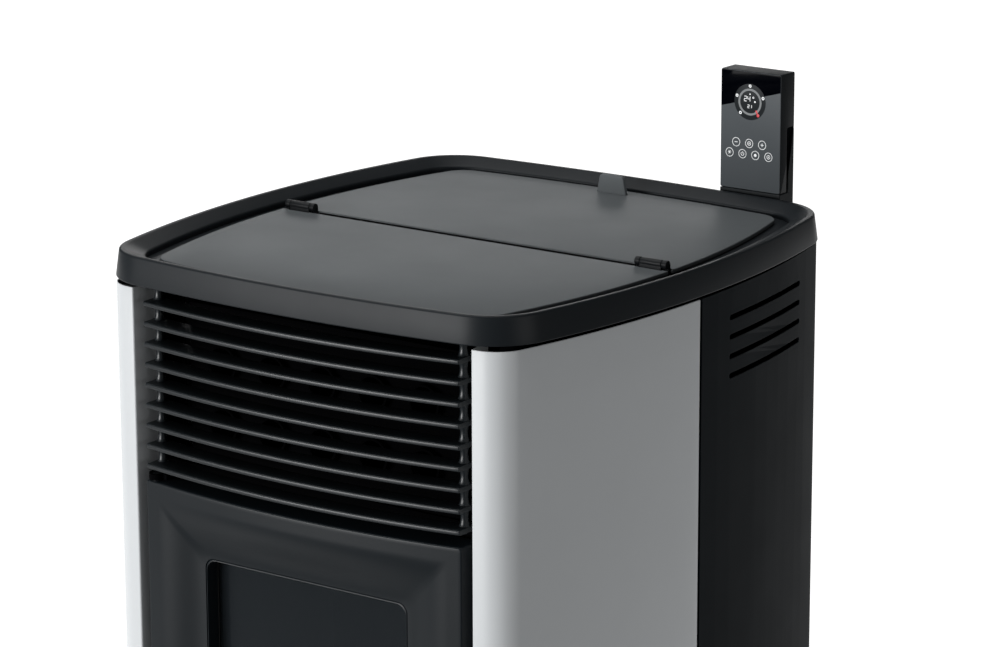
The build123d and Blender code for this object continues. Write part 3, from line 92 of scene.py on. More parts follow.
# %% Grids, shells and pieces
SMOOTH_ANGLE = math.radians(40)


def grid_faces(rows, columns, closed_rows):
    """Quads between neighbouring rows and columns, the last column joined to the first."""
    r = np.arange(rows if closed_rows else rows - 1)
    a, b = np.meshgrid(r, np.arange(columns), indexing="ij")
    a2, b2 = (a + 1) % rows, (b + 1) % columns
    quads = [a * columns + b, a * columns + b2, a2 * columns + b2, a2 * columns + b]
    return np.stack(quads, -1).reshape(-1, 4).tolist()


def rings(points, ends="capped"):
    """A shell from rings of points, shape (rings, points in a ring, 3).

    Its ends are capped, or joined to each other."""
    count, around, _ = points.shape
    faces = grid_faces(count, around, closed_rows=ends == "joined")
    if ends == "capped":
        faces += [list(range(around))[::-1], list(range((count - 1) * around, count * around))]
    return points.reshape(-1, 3), faces


def join(*shells):
    """Several shells as one: each shell's point numbers start where the last shell's ended."""
    starts = np.cumsum([0] + [len(points) for points, _ in shells[:-1]])
    faces = [[int(start) + i for i in face]
             for start, (_, group) in zip(starts, shells) for face in group]
    return np.concatenate([points for points, _ in shells]), faces


def piece(name, shell, body, finish, stands_for=()):
    """One object from a shell in millimetres, its normals outward, riding on a body of the stove.

    Edges flatter than the smooth angle are shaded round. Faces with more than four corners are
    flat caps."""
    points, faces = shell
    mesh = bpy.data.meshes.new(name)
    mesh.from_pydata(((points - (0, PLAN_SHIFT, 0)) / 1000).tolist(), [], faces)
    work = bmesh.new()
    work.from_mesh(mesh)
    bmesh.ops.recalc_face_normals(work, faces=work.faces[:])
    work.to_mesh(mesh)
    work.free()
    sides = np.zeros(len(mesh.polygons), np.int32)
    mesh.polygons.foreach_get("loop_total", sides)
    mesh.polygons.foreach_set("use_smooth", sides <= 4)
    mesh.set_sharp_from_angle(angle=SMOOTH_ANGLE)
    mesh.materials.append(finish)
    obj = bpy.data.objects.new(name, mesh)
    bpy.context.scene.collection.objects.link(obj)
    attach(obj, body)
    if stands_for:
        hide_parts(*stands_for)
    print(name, len(mesh.vertices), "points")
    return obj


# %% Outlines
def rounded(corners, radii, steps):
    """A closed outline whose corners are arcs.

    Each arc touches both of its edges, radius / tan(half the angle) from the corner. Its middle
    lies radius / sin(half the angle) from the corner, between the edges."""
    corners = np.asarray(corners, float)
    straight = 1.56                         # half an angle as wide as this is no corner, in radians
    out = []
    befores, afters = np.roll(corners, 1, 0), np.roll(corners, -1, 0)
    for before, corner, after, radius in zip(befores, corners, afters, radii):
        a, b = before - corner, after - corner
        a, b = a / np.linalg.norm(a), b / np.linalg.norm(b)
        half = math.acos(np.clip(a @ b, -1, 1)) / 2
        if radius <= 0 or half > straight:
            out.append(corner[None])
            continue
        middle = corner + (a + b) / np.linalg.norm(a + b) * radius / math.sin(half)
        u = corner + a * radius / math.tan(half) - middle
        v = corner + b * radius / math.tan(half) - middle
        turn = math.pi - 2 * half
        s = np.linspace(0, 1, steps)[:, None]
        out.append(middle + (np.sin((1 - s) * turn) * u + np.sin(s * turn) * v) / math.sin(turn))
    return np.concatenate(out)


def inward(outline, distance):
    """The outline moved inward: each corner along the mitre of its two edges.

    The outline runs anticlockwise. The mitre is the sum of both edges' normals, divided by one plus
    their product, so that both edges move by the distance."""
    edge = np.roll(outline, -1, 0) - outline
    normal = np.stack([-edge[:, 1], edge[:, 0]], 1) / np.linalg.norm(edge, axis=1)[:, None]
    before = np.roll(normal, 1, 0)
    mitre = (normal + before) / (1 + (normal * before).sum(1))[:, None]
    return outline + mitre * distance


def at_level(outline, level):
    """The outline's points with one level as their third number."""
    return np.c_[outline, np.full(len(outline), level)]


def box(x0, x1, y0, y1):
    """A rectangle's four corners, anticlockwise."""
    return np.array([(x0, y0), (x1, y0), (x1, y1), (x0, y1)])


# %% Plates and turned solids
def plate(outline, low, high, edge, across="z"):
    """A plate of that outline from low to high, its rims rounded by a quarter circle.

    At an angle t of the quarter, the rim lies edge * (1 - sin t) further in and stands
    edge * (1 - cos t) from the face."""
    turn = np.linspace(0, math.pi / 2, 4)
    inset = edge * (1 - np.sin(turn))
    rise = edge * (1 - np.cos(turn))
    insets, levels = np.r_[inset, inset[::-1]], np.r_[low + rise, high - rise[::-1]]
    layers = [at_level(inward(outline, d), level) for d, level in zip(insets, levels)]
    order = {"z": [0, 1, 2], "y": [0, 2, 1], "x": [2, 0, 1]}[across]
    return rings(np.array(layers)[:, :, order])


def turned(profile, start, direction, around):
    """A lathe-turned solid: (radius, distance) pairs carried round the axis from start."""
    profile = np.asarray(profile, float)
    axis = np.asarray(direction, float) / np.linalg.norm(direction)
    side = np.cross(axis, (0.0, 0.0, 1.0) if abs(axis[2]) < 0.9 else (1.0, 0.0, 0.0))
    side /= np.linalg.norm(side)
    angle = np.linspace(0, 2 * math.pi, around, endpoint=False)
    spoke = np.cos(angle)[:, None] * side + np.sin(angle)[:, None] * np.cross(axis, side)
    return rings(np.asarray(start) + profile[:, :1, None] * spoke + profile[:, 1:, None] * axis)


AXIS_R = 0.01                               # a turned solid closes on a tiny ring, not on a point

# %% [markdown]
# ## Finishes
# A finish starts from what the real surface is and how it was made. All patterns read Object
# coordinates, which are metres here, so a grain of g millimetres needs a noise scale of 1000 / g.


# %% Node and colour helpers
def linear(code):
    """The linear colour of an sRGB hex code.

    Below 0.04045 it is a straight line, above that a power of 2.4."""
    c = np.array([int(code[i:i + 2], 16) for i in (1, 3, 5)]) / 255
    return (*np.where(c <= 0.04045, c / 12.92, ((c + 0.055) / 1.055) ** 2.4).tolist(), 1.0)


def add(tree, kind, settings=(), values=(), links=()):
    """Adds one node.

    Settings are its properties, values its sockets' numbers, links what feeds its sockets."""
    node = tree.nodes.new(kind)
    for key, value in dict(settings).items():
        setattr(node, key, value)
    for key, value in dict(values).items():
        node.inputs[key].default_value = value
    for key, source in dict(links).items():
        tree.links.new(source, node.inputs[key])
    return node


def blank(name, colour, metallic=0.0, roughness=0.5, **sockets):
    """A material with its node tree and its shader, the same all over the surface."""
    made = bpy.data.materials.new(name)
    made.use_nodes = True
    tree = made.node_tree
    tree.nodes.clear()
    values = {"Base Color": linear(colour), "Metallic": metallic, "Roughness": roughness, **sockets}
    shader = add(tree, "ShaderNodeBsdfPrincipled", values=values)
    add(tree, "ShaderNodeOutputMaterial", links={"Surface": shader.outputs[0]})
    return made, tree, shader


def object_place(tree):
    """The Object coordinates, which stay with the piece when it moves."""
    return add(tree, "ShaderNodeTexCoord").outputs["Object"]


def vary(tree, shader, colours, roughness, spread, pattern, bump):
    """Lets a pattern move the colour and the roughness, and joins the bump to the shader.

    The colour runs from the first to the second, and the roughness from spread below to spread
    above."""
    tint = add(tree, "ShaderNodeMix", {"data_type": "RGBA"},
               {6: linear(colours[0]), 7: linear(colours[1])}, {0: pattern})
    gloss = add(tree, "ShaderNodeMapRange",
                values={"To Min": roughness - spread, "To Max": roughness + spread},
                links={"Value": pattern})
    tree.links.new(tint.outputs[2], shader.inputs["Base Color"])
    tree.links.new(gloss.outputs[0], shader.inputs["Roughness"])
    tree.links.new(bump.outputs[0], shader.inputs["Normal"])


# %% [markdown]
# ### Painted metal
# Stove paint and powder coat are films about 0.08 mm thick. Up close they have a fine pebbled grain
# from spraying, and over a hand's width the sheen drifts a little. So a fine noise gives the bump,
# and a coarse one moves the colour and the roughness by a few percent. Cast iron under paint keeps
# some of the sand mould's grain, which only needs a larger grain and a deeper bump.


# %% Painted metal
DRIFT = 70.0


def painted(name, colour, shade, roughness, grain, depth, sheen=0.5):
    """Paint whose colour drifts from colour to shade, with a grain of that size and depth in mm.

    Sheen is the mirrored share: 0.5 is a glossy plastic's, and soot or a deep texture swallows
    nearly all of it."""
    made, tree, shader = blank(name, colour, roughness=roughness, **{"Specular IOR Level": sheen})
    place = {"Vector": object_place(tree)}
    cloud = add(tree, "ShaderNodeTexNoise", values={"Scale": 1000 / DRIFT, "Detail": 3.0},
                links=place)
    fine = add(tree, "ShaderNodeTexNoise", values={"Scale": 1000 / grain, "Detail": 2.0},
               links=place)
    bump = add(tree, "ShaderNodeBump", values={"Strength": 0.6, "Distance": depth / 1000},
               links={"Height": fine.outputs["Fac"]})
    vary(tree, shader, (colour, shade), roughness, 0.05, cloud.outputs["Fac"], bump)
    print(name, "grain", grain, "mm")
    return made


frame_paint = painted("satin_black_stove_paint", "#1b1f22", "#191c1f", 0.42, 1.6, 0.03, sheen=0.12)
lid_paint = painted("anthracite_powder_coat", "#5e6264", "#5a5e60", 0.45, 1.4, 0.02, sheen=0.04)
case_paint = painted("smooth_light_grey_powder_coat", "#c4c7c9", "#bfc2c4", 0.36, 1.2, 0.012,
                     sheen=0.25)
back_paint = painted("textured_black_powder_coat", "#0e1418", "#0d1215", 0.55, 2.2, 0.06,
                     sheen=0.035)
grille_paint = painted("matt_black_paint_on_cast_slats", "#171c1f", "#15191c", 0.36, 1.8, 0.025,
                       sheen=0.35)
door_paint = painted("matt_black_paint_on_cast_door", "#0f1519", "#0e1317", 0.4, 2.0, 0.03,
                     sheen=0.2)
fitting_paint = painted("black_hinge_paint", "#191b1d", "#151719", 0.4, 1.0, 0.015, sheen=0.12)
# Black paint of the stove's inside, darkened far below any real paint so that the hollows behind the
# grille and the slots read black: its own colour and painted shade.
shade_dark_steel_paint = painted("heat_proof_black_darkened_for_painted_shade", "#030304", "#020203", 0.8, 2.4, 0.02,
                      sheen=0.02)
motor_paint = painted("grey_motor_lacquer", "#6a6c6e", "#5c5e60", 0.45, 1.5, 0.03)

# %% [markdown]
# ### Metal, rope and lining board
# Galvanised sheet shows zinc crystals, flat spangles about 8 mm across that differ a little in
# shade. Turned and stamped metal shows fine lines, a noise squeezed along one direction. The burn
# pot is bare cast iron, scaled by heat. The door's rope shows its braid as waves. The lining board
# is no metal: under its soot only a coarse, dull drift of colour is left, so the paint recipe makes
# it, with a wide and shallow grain.


# %% Metal, rope and lining board
def patterned(name, colour, shade, metallic, roughness, texture, stretch=(1, 1, 1), depth=0.03,
              **values):
    """A finish whose colour, roughness and bump follow one texture, stretched by three factors."""
    made, tree, shader = blank(name, colour, metallic, roughness)
    stretched = add(tree, "ShaderNodeMapping", values={"Scale": stretch},
                    links={"Vector": object_place(tree)})
    pattern = add(tree, texture, values=values, links={"Vector": stretched.outputs[0]})
    height = pattern.outputs["Fac"] if "Fac" in pattern.outputs else pattern.outputs["Distance"]
    bump = add(tree, "ShaderNodeBump", values={"Strength": 0.5, "Distance": depth / 1000},
               links={"Height": height})
    vary(tree, shader, (colour, shade), roughness, 0.05, height, bump)
    print(name)
    return made


zinc = patterned("galvanised_sheet", "#a9adaf", "#8c9092", 1.0, 0.4, "ShaderNodeTexVoronoi",
                 Scale=1000 / 8)
steel = patterned("turned_steel", "#b6b6b4", "#9a9a98", 1.0, 0.28, "ShaderNodeTexNoise",
                  (1, 1, 14), 0.01, Scale=900.0)
cast_iron = patterned("bare_cast_iron", "#3c3834", "#2a2622", 0.4, 0.75, "ShaderNodeTexNoise",
                      depth=0.25, Scale=1000 / 2.5, Detail=4.0)
vermiculite = painted("sooted_vermiculite_board", "#272a2e", "#23262a", 0.95, 12.0, 0.01,
                      sheen=0.02)
rope = patterned("braided_glass_rope", "#3a3a38", "#222220", 0.0, 0.95, "ShaderNodeTexWave",
                 depth=0.8, Scale=1000 / 18, Distortion=2.0)
fan_metal = patterned("pressed_aluminium", "#c3c5c7", "#abadaf", 1.0, 0.35, "ShaderNodeTexNoise",
                      (1, 8, 1), 0.01, Scale=300.0)

# %% [markdown]
# ### Plastics, rubber and glass
# Moulded parts have the fine spark-eroded grain of their mould. The circuit board is glossy lacquer
# over glass fibre. The door's pane is glass ceramic, smoked by use. A flat pane bends no image, so
# a share of see-through does for it, and the lining behind it is then lit without noise. The
# panel's face is glass-like acrylic.

# %% Plastics, rubber and glass
moulded = painted("fine_matt_black_abs", "#1a1d1f", "#171a1c", 0.5, 0.9, 0.02, sheen=0.12)
face_plastic = painted("satin_dark_acrylic_face", "#4e5255", "#4b4f52", 0.3, 1.2, 0.004, sheen=0.05)
# The black of the painted reflection over the face's upper part.
reflection_black_finish = painted("black_painted_reflection_zone", "#020307", "#020306", 0.08, 1.2, 0.002, sheen=0.02)
dial_glass = painted("smoked_dial", "#26292b", "#242729", 0.25, 1.2, 0.002, sheen=0.02)
socket_plastic = painted("black_nylon", "#1b1c1d", "#171819", 0.45, 1.1, 0.02)
switch_plastic = painted("red_switch_nylon", "#8e2a22", "#84261f", 0.35, 1.0, 0.01)
rubber = painted("matt_black_rubber", "#0c0c0d", "#0a0a0b", 0.8, 1.5, 0.03, sheen=0.1)
board = painted("circuit_board_lacquer", "#1f4a33", "#1a402c", 0.3, 1.5, 0.01)
pane, *_ = blank("smoked_glass_ceramic_pane", "#282d31", roughness=0.05, Alpha=0.35)
mark_ink, *_ = blank("light_grey_touch_print", "#eceeef")
mark_red, *_ = blank("red_touch_print", "#c8202a")
mark_ring, *_ = blank("grey_dial_print", "#65696b")
print(len(bpy.data.materials), "finishes")

# %% [markdown]
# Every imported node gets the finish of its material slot. The door's hinge pins alone differ: their
# steel is blackened, because nothing bright shows in their place.

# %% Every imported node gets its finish
finish_of_slot = {
    "frame_black": frame_paint, "lid_grey": lid_paint, "fitting_black": fitting_paint,
    "seal_rubber": rubber, "panel_light": case_paint, "panel_black": back_paint,
    "front_black": door_paint, "grille_black": grille_paint, "door_black": door_paint,
    "door_glass": pane, "rope_seal": rope, "zinc_steel": zinc, "bright_steel": steel,
    "stove_steel": shade_dark_steel_paint, "lining_board": vermiculite, "pot_iron": cast_iron,
    "motor_grey": motor_paint, "fan_aluminium": fan_metal, "board_green": board,
    "plastic_black": socket_plastic, "switch_plastic": switch_plastic,
    "remote_plastic": moulded, "remote_glass": face_plastic, "foot_rubber": rubber,
}
slot_of = {part["node"]: part["material_slot"] for part in frame["record"]["subparts"]}
for node, obj in frame["nodes"].items():
    finish = fitting_paint if node == "door_hinge_pins" else finish_of_slot[slot_of[node]]
    obj.data.materials.clear()
    obj.data.materials.append(finish)
print(len(slot_of), "nodes finished")

# %% [markdown]
# ## The casing's plan
# Seen from above the stove is a box whose four sides bulge a little. Each side is one arc and each
# corner a smaller one. A spline through hand-placed points would wobble; arcs give the long clean
# reflections of rolled sheet.


# %% Plan of the casing
BOW_STEPS, CORNER_STEPS = 48, 16


def bow_radius(half_chord, bow):
    """An arc's radius: (half its chord squared + its bow squared) / (2 * its bow)."""
    return (half_chord**2 + bow**2) / (2 * bow)


def arc(middle, radius, start, end, steps):
    """Points on a circle from the start angle up to, but not on, the end angle."""
    angle = np.linspace(start, end, steps, endpoint=False)[:, None]
    return middle + radius * np.hstack([np.cos(angle), np.sin(angle)])


def bearing(a, b):
    """The angle of the line from a to b."""
    return math.atan2(b[1] - a[1], b[0] - a[0])


def crossing(c1, r1, c2, r2, near):
    """Where two circles cross, nearest to a point.

    From the first middle, the crossings lie (r1 squared - r2 squared + d squared) / (2 d) along the
    line of both middles, d being their distance, and off it by what Pythagoras leaves of r1."""
    gap = c2 - c1
    d = np.linalg.norm(gap)
    along = (r1**2 - r2**2 + d**2) / (2 * d)
    off = np.array([-gap[1], gap[0]]) / d * math.sqrt(r1**2 - along**2)
    found = [c1 + gap / d * along + off, c1 + gap / d * along - off]
    return min(found, key=lambda p: np.linalg.norm(p - near))


def plan_loop(side_inset, end_inset, corner):
    """The outline from above, anticlockwise from the front's left end.

    A corner's middle lies its own radius inside the circles of both neighbours, at their crossing
    nearest to the corner."""
    half_w, half_d = HALF_WIDTH - side_inset, HALF_DEPTH - end_inset
    chord, front, back = half_w - SIDE_BOW, -(half_d - FRONT_BOW), half_d - BACK_BOW
    r_front, r_back = bow_radius(chord, FRONT_BOW), bow_radius(chord, BACK_BOW)
    r_side = bow_radius((back - front) / 2, SIDE_BOW)
    at_front, at_back = np.array([0, r_front - half_d]), np.array([0, half_d - r_back])
    at_side = np.array([half_w - r_side, (front + back) / 2])
    low = crossing(at_front, r_front - corner, at_side, r_side - corner, (chord, front))
    high = crossing(at_back, r_back - corner, at_side, r_side - corner, (chord, back))
    front_end, side_start = bearing(at_front, low), bearing(at_side, low)
    side_end, back_start = bearing(at_side, high), bearing(at_back, high)
    half, flip = math.pi, np.array([-1, 1])
    return np.concatenate([
        arc(at_front, r_front, -half - front_end, front_end, BOW_STEPS),
        arc(low, corner, front_end, side_start, CORNER_STEPS),
        arc(at_side, r_side, side_start, side_end, BOW_STEPS),
        arc(high, corner, side_end, back_start, CORNER_STEPS),
        arc(at_back, r_back, back_start, half - back_start, BOW_STEPS),
        arc(high * flip, corner, half - back_start, half - side_end, CORNER_STEPS),
        arc(at_side * flip, r_side, half - side_end, half - side_start, BOW_STEPS),
        arc(low * flip, corner, half - side_start, half - front_end, CORNER_STEPS),
    ])


def bow_y(x):
    """The front's bow at x: a circle through the middle and both ends of the slats."""
    radius = bow_radius(SLAT_HALF, FACE_BOW)
    return -FACE_APEX + radius - np.sqrt(radius**2 - np.asarray(x, float) ** 2)


print("points in the plan:", len(plan_loop(0, 0, 60)))

# %% [markdown]
# ## Top frame
# The real frame is one casting: a slightly leaning outer face, a soft crest, and a band that falls
# inward to a lip. It could be a bevelled solid, but its rounding changes from edge to edge, so its
# cross-section is carried round the plan. A corner's radius shrinks with the inset, and on the band
# it gains a little again. A ledge inside carries the lid panels. It steps back at the hinges.

# %% Top frame
FRAME_CORNER, BAND_START, BAND_END, BAND_GAIN = 60, 6, 22, 3
BAND_LOW = 942.5
LEDGE_OUT, LEDGE_IN, LEDGE_CORNERS, LEDGE_LOW, LEDGE_TOP = 20.5, 47, (42.5, 25), 934.4, 937.4
BAY_HALF, BAY_RAMP, BAY_SHARE = 24, 6, 0.25


def frame_loop(inset, level):
    """One ring of the frame's wall."""
    gain = BAND_GAIN * np.clip((inset - BAND_START) / (BAND_END - BAND_START), 0, 1)
    return at_level(plan_loop(inset, inset, FRAME_CORNER - inset + gain), level)


section = rounded([(0, FRAME_BOTTOM), (3.0, RIM_TOP + 0.1), (7.5, RIM_TOP - 0.3),
                   (BAND_END, BAND_LOW), (BAND_END, FRAME_BOTTOM)], [1.0, 2.2, 5.0, 2.6, 0.5], 7)
frame_shell = rings(np.array([frame_loop(d, z) for d, z in section]), ends="joined")
outer = plan_loop(LEDGE_OUT, LEDGE_OUT, LEDGE_CORNERS[0])
inner = plan_loop(LEDGE_IN, LEDGE_IN, LEDGE_CORNERS[1])
clear = np.clip((np.abs(outer[:, 1]) - BAY_HALF) / BAY_RAMP, BAY_SHARE, 1)[:, None]
inner = outer + (inner - outer) * clear
around_ledge = ((outer, LEDGE_LOW), (inner, LEDGE_LOW), (inner, LEDGE_TOP), (outer, LEDGE_TOP))
ledge = rings(np.array([at_level(line, z) for line, z in around_ledge]), ends="joined")
piece("top_frame_casting", join(frame_shell, ledge), "cabinet", frame_paint,
      ["top_frame"])


# %% [markdown]
# ## Lid panels
# Two plates of 4 mm sheet share one outline, cut across the middle, with notches for the hinges.
# The edge is broken by a small radius that catches the light, so each plate is its outline carried
# through a quarter circle at both faces.


# %% Lid panels
LID_SIDE, LID_END, LID_CORNER, LID_EDGE = 37, 29, 25, 0.9
SPLIT, NOTCH, NOTCH_CLEAR = 3.5, 1.4, 1.0


def half_plan(outline, split):
    """The part of the outline before a negative y, or behind a positive one, closed at that y.

    It adds the two points where the outline crosses that y, read off between its neighbours."""
    kept = outline[:, 1] < split if split < 0 else outline[:, 1] > split
    start, count = int(np.flatnonzero(kept & ~np.roll(kept, 1))[0]), int(kept.sum())
    line = np.roll(outline, -start, 0)

    def cut(a, b):
        return a[0] + (split - a[1]) / (b[1] - a[1]) * (b[0] - a[0]), split

    return np.concatenate([[cut(line[-1], line[0])], line[:count],
                           [cut(line[count - 1], line[count])]])


def notched(part, split, middles, half, depth):
    """The part with a notch cut into its straight end around each middle."""
    way = 1 if part[0, 0] > part[-1, 0] else -1
    steps = []
    for middle in sorted(middles, reverse=way < 0):
        a, b = middle - way * half, middle + way * half
        steps += [(a, split), (a, split + depth), (b, split + depth), (b, split)]
    return np.concatenate([part, steps])


outline = plan_loop(LID_SIDE, LID_END, LID_CORNER)
front_part = notched(half_plan(outline, -SPLIT), -SPLIT, (-HINGE_X, HINGE_X),
                     BARREL_HALF + NOTCH_CLEAR, -NOTCH)
piece("fixed_top_panel", plate(front_part, PANEL_TOP - PANEL_T, PANEL_TOP, LID_EDGE), "cabinet",
      lid_paint, ["top_panel_front"])
knuckles = [hinge + side * KNUCKLE_OUT for hinge in (-HINGE_X, HINGE_X) for side in (-1, 1)]
back_part = notched(half_plan(outline, SPLIT), SPLIT, knuckles, KNUCKLE_HALF + NOTCH_CLEAR, NOTCH)
piece("hopper_lid_panel", plate(back_part, PANEL_TOP - PANEL_T, PANEL_TOP, LID_EDGE), "lid",
      lid_paint, ["hopper_lid"])

# %% [markdown]
# The gap between the panels is a black line in the photograph, right up to their faces. A thin black
# strip on the lid's front edge paints that line in: painted shade, given the rubber's finish, since
# only the dark line is seen.

# %% Painted shade strip in the split
SHADE_STRIP_HALF, SHADE_STRIP_LOW, SHADE_STRIP_TOP, SHADE_STRIP_FRONT, SHADE_STRIP_BACK = 175.0, 938.0, 941.3, 3.0, 3.55
split_shade = plate(box(-SHADE_STRIP_HALF, SHADE_STRIP_HALF, SHADE_STRIP_LOW, SHADE_STRIP_TOP), SHADE_STRIP_FRONT, SHADE_STRIP_BACK,
               0.15, "y")
# The strip is black where the gap holds only shade: painted shade.
piece("painted_shade_strip_at_split", split_shade, "lid", rubber)

# %% [markdown]
# The lid's tab is a small folded plate to lift it by, narrower at its rounded top.

# %% Lid tab
TAB_FOOT, TAB_HEAD, TAB_LOW, TAB_SHOULDER, TAB_CROWN = 16.5, 12.9, 941.2, 958.9, 960.1
TAB_FRONT, TAB_BACK = 221.4, 225.4
tab = rounded([(-TAB_FOOT, TAB_LOW), (TAB_FOOT, TAB_LOW), (TAB_HEAD, TAB_SHOULDER), (0, TAB_CROWN),
               (-TAB_HEAD, TAB_SHOULDER)], [0, 0, 3.5, 40, 3.5], 6)
piece("lid_lifting_tab", plate(tab, TAB_FRONT, TAB_BACK, 1.0, "y"), "lid", lid_paint,
      ["lid_tab"])


# %% [markdown]
# ## Lid hinges
# Each hinge is a fixed barrel between two knuckles that ride on the lid. They are turned parts, so
# a profile is carried round the axis, and flat leaves run under the panels. The pin is hidden in
# the barrels and isn't drawn.


# %% Lid hinges
BARREL_R, BARREL_EDGE = 3.9, 0.5
LEAF_LOW, LEAF_TOP, NECK_LOW, LEAF_EDGE = 936.5, 937.7, 937.0, 0.2
LEAF_NEAR, LEAF_REACH, NECK_REACH = 0.8, 14, 3.6


def barrel(x0, x1):
    """A short bar along X whose rims are quarter circles."""
    turn = np.linspace(0, math.pi / 2, 4)
    rim = np.c_[BARREL_R - BARREL_EDGE * (1 - np.sin(turn)), BARREL_EDGE * (1 - np.cos(turn))]
    length = x1 - x0
    far_rim = np.c_[rim[::-1, 0], length - rim[::-1, 1]]
    profile = np.concatenate([[(AXIS_R, 0)], rim, far_rim, [(AXIS_R, length)]])
    return turned(profile, (x0, 0, HINGE_Z), (1, 0, 0), 40)


def leaf(x0, x1, side):
    """The hinge's flat leaf under a panel and the short neck up to its barrel."""
    flat = box(x0, x1, *sorted((side * LEAF_NEAR, side * LEAF_REACH)))
    neck = box(x0, x1, *sorted((side * LEAF_NEAR, side * NECK_REACH)))
    return plate(flat, LEAF_LOW, LEAF_TOP, LEAF_EDGE), plate(neck, NECK_LOW, HINGE_Z, LEAF_EDGE)


fixed_parts, lid_parts = [], []
for x in (-HINGE_X, HINGE_X):
    ends = x - BARREL_HALF, x + BARREL_HALF
    fixed_parts += [barrel(*ends), *leaf(*ends, -1)]
    for at in (x - KNUCKLE_OUT, x + KNUCKLE_OUT):
        ends = at - KNUCKLE_HALF, at + KNUCKLE_HALF
        lid_parts += [barrel(*ends), *leaf(*ends, 1)]
piece("lid_hinge_fixed_barrels", join(*fixed_parts), "cabinet", fitting_paint,
      ["lid_hinge_barrels"])
piece("lid_hinge_turning_knuckles", join(*lid_parts), "lid", fitting_paint,
      ["lid_hinge_knuckles"])


# %% [markdown]
# ## Light side panels
# Each is one bent sheet: a fold at the seam, the long bowed side, the rounded corner, the narrow
# strip beside the door and a flange that runs back from it. The path of the bends is drawn once and
# the sheet's rounded edge carried along it. The fold's top is notched, as on bent sheet, or it
# would show as a light tooth in the gap under the frame.


# %% Light side panels
CASE_INSET, CASE_CORNER, CASE_EDGE = 5, 29, 0.7
SEAM_Y, FOLD_Y, FOLD_DEEP, FOLD_OUT, FOLD_R = -3, -0.5, 9, 0.1, 2.0
CORNER_Y, STRIP_END, STRIP_X, FRONT_ZONE = -200, 186, 183, (-230, 100)
BEND_IN, BEND_RISE, FLANGE_X, FLANGE_DEEP, BEND_R = 190, 1.2, 177, 30, 1.8
RELIEF_FROM, RELIEF_SLOPE, RELIEF_DEPTH, RELIEF_Y = 0.6, 6, 8, -2


def bent_sheet(path, low, high, thickness, edge, relief):
    """A sheet along an open path, its outer face on the path's left.

    The carried section is a tall rounded rectangle. Relief is how far the top stands lower at each
    point of the path."""
    step = np.gradient(path, axis=0)
    left = np.stack([-step[:, 1], step[:, 0]], 1) / np.linalg.norm(step, axis=1)[:, None]
    section = rounded([(-thickness, low), (0, low), (0, high), (-thickness, high)], [edge] * 4, 4)
    out, level = section[None, :, :1], section[None, :, 1]
    points = np.empty((len(path), len(section), 3))
    points[:, :, :2] = path[:, None] + left[:, None] * out
    points[:, :, 2] = level - relief[:, None] * (level > (low + high) / 2)
    return rings(points)


skin = plan_loop(CASE_INSET, CASE_INSET, CASE_CORNER)
right = skin[(skin[:, 0] > 0) & (skin[:, 1] < SEAM_Y)]
right = right[np.argsort(-right[:, 1], kind="stable")]
strip = right[(right[:, 0] > STRIP_END) | (right[:, 1] > CORNER_Y)]
front_skin = skin[(skin[:, 1] < FRONT_ZONE[0]) & (skin[:, 0] > FRONT_ZONE[1])]
strip_y = float(np.interp(STRIP_X, *front_skin.T))
seam_x = float(strip[0, 0])
fold = rounded([(seam_x - FOLD_DEEP, FOLD_Y), (seam_x + FOLD_OUT, FOLD_Y), tuple(strip[0])],
               [0, FOLD_R, 0], 6)[:-1]
bend = rounded([(BEND_IN, strip_y + BEND_RISE), (STRIP_X, strip_y),
                (FLANGE_X, strip_y + FLANGE_DEEP)], [0, BEND_R, 0], 6)[1:]
path = np.concatenate([fold, strip[1:], bend])
relief = np.clip((seam_x - RELIEF_FROM - path[:, 0]) * RELIEF_SLOPE, 0, RELIEF_DEPTH)
panel = bent_sheet(path, CASE_LOW, CASE_TOP, SHEET, CASE_EDGE, relief * (path[:, 1] > RELIEF_Y))
piece("side_panel_light_right", panel, "cabinet", case_paint, ["side_panel_right"])
piece("side_panel_light_left", (panel[0] * (-1, 1, 1), panel[1]), "cabinet", case_paint,
      ["side_panel_left"])

# %% [markdown]
# ## Grille
# Nine cast slats follow the front's bow. Their top front edge is rounded most, and that is the
# bright line of each slat. The section is carried along the bow, and at each end its front retreats
# on a small quarter circle.

# %% Grille slats
SLATS, SLAT_TOP, SLAT_PITCH, SLAT_T, SLAT_DEEP = 9, 910.1, 18.4, 4.2, 22
SLAT_END, SLAT_STRAIGHT = 1.0, 166
slat_tops = SLAT_TOP - SLAT_PITCH * np.arange(SLATS)
ends = SLAT_HALF - SLAT_END * (1 - np.sin(np.linspace(0, math.pi / 2, 5)))
x = np.concatenate([-ends[::-1], np.linspace(-SLAT_STRAIGHT, SLAT_STRAIGHT, 61), ends])
past = np.clip(np.abs(x) - (SLAT_HALF - SLAT_END), 0, SLAT_END)
retreat = SLAT_END - np.sqrt(SLAT_END**2 - past**2)
section = rounded([(0, 0), (SLAT_DEEP, 0), (SLAT_DEEP, -SLAT_T), (0, -SLAT_T)],
                  [1.5, 0.5, 0.5, 1.0], 5)
depth, drop = section[:, 0], section[:, 1]
y = bow_y(x)[:, None] + retreat[:, None] * (1 - depth / SLAT_DEEP) + depth
across = np.broadcast_to(x[:, None], y.shape)
slats = [rings(np.stack([across, y, np.broadcast_to(top + drop, y.shape)], -1))
         for top in slat_tops]
piece("cast_grille_slats", join(*slats), "cabinet", grille_paint, ["grille_slats"])

# %% [markdown]
# Tie rods run down through the slats' ends, and a spacer sits on them in each gap. The spacers are
# turned like thread spools: wide where they bear on a slat and drawn in between, so a lathe profile
# gives both.

# %% Spacers
ROD_X, ROD_Y, ROD_R, ROD_TIP, ROD_EDGE, DECK_LOW = 165.0, -236.0, 2.0, 3, 0.3, 922.9
SPOOL_WIDE, SPOOL_WAIST = 4.9, 3.3


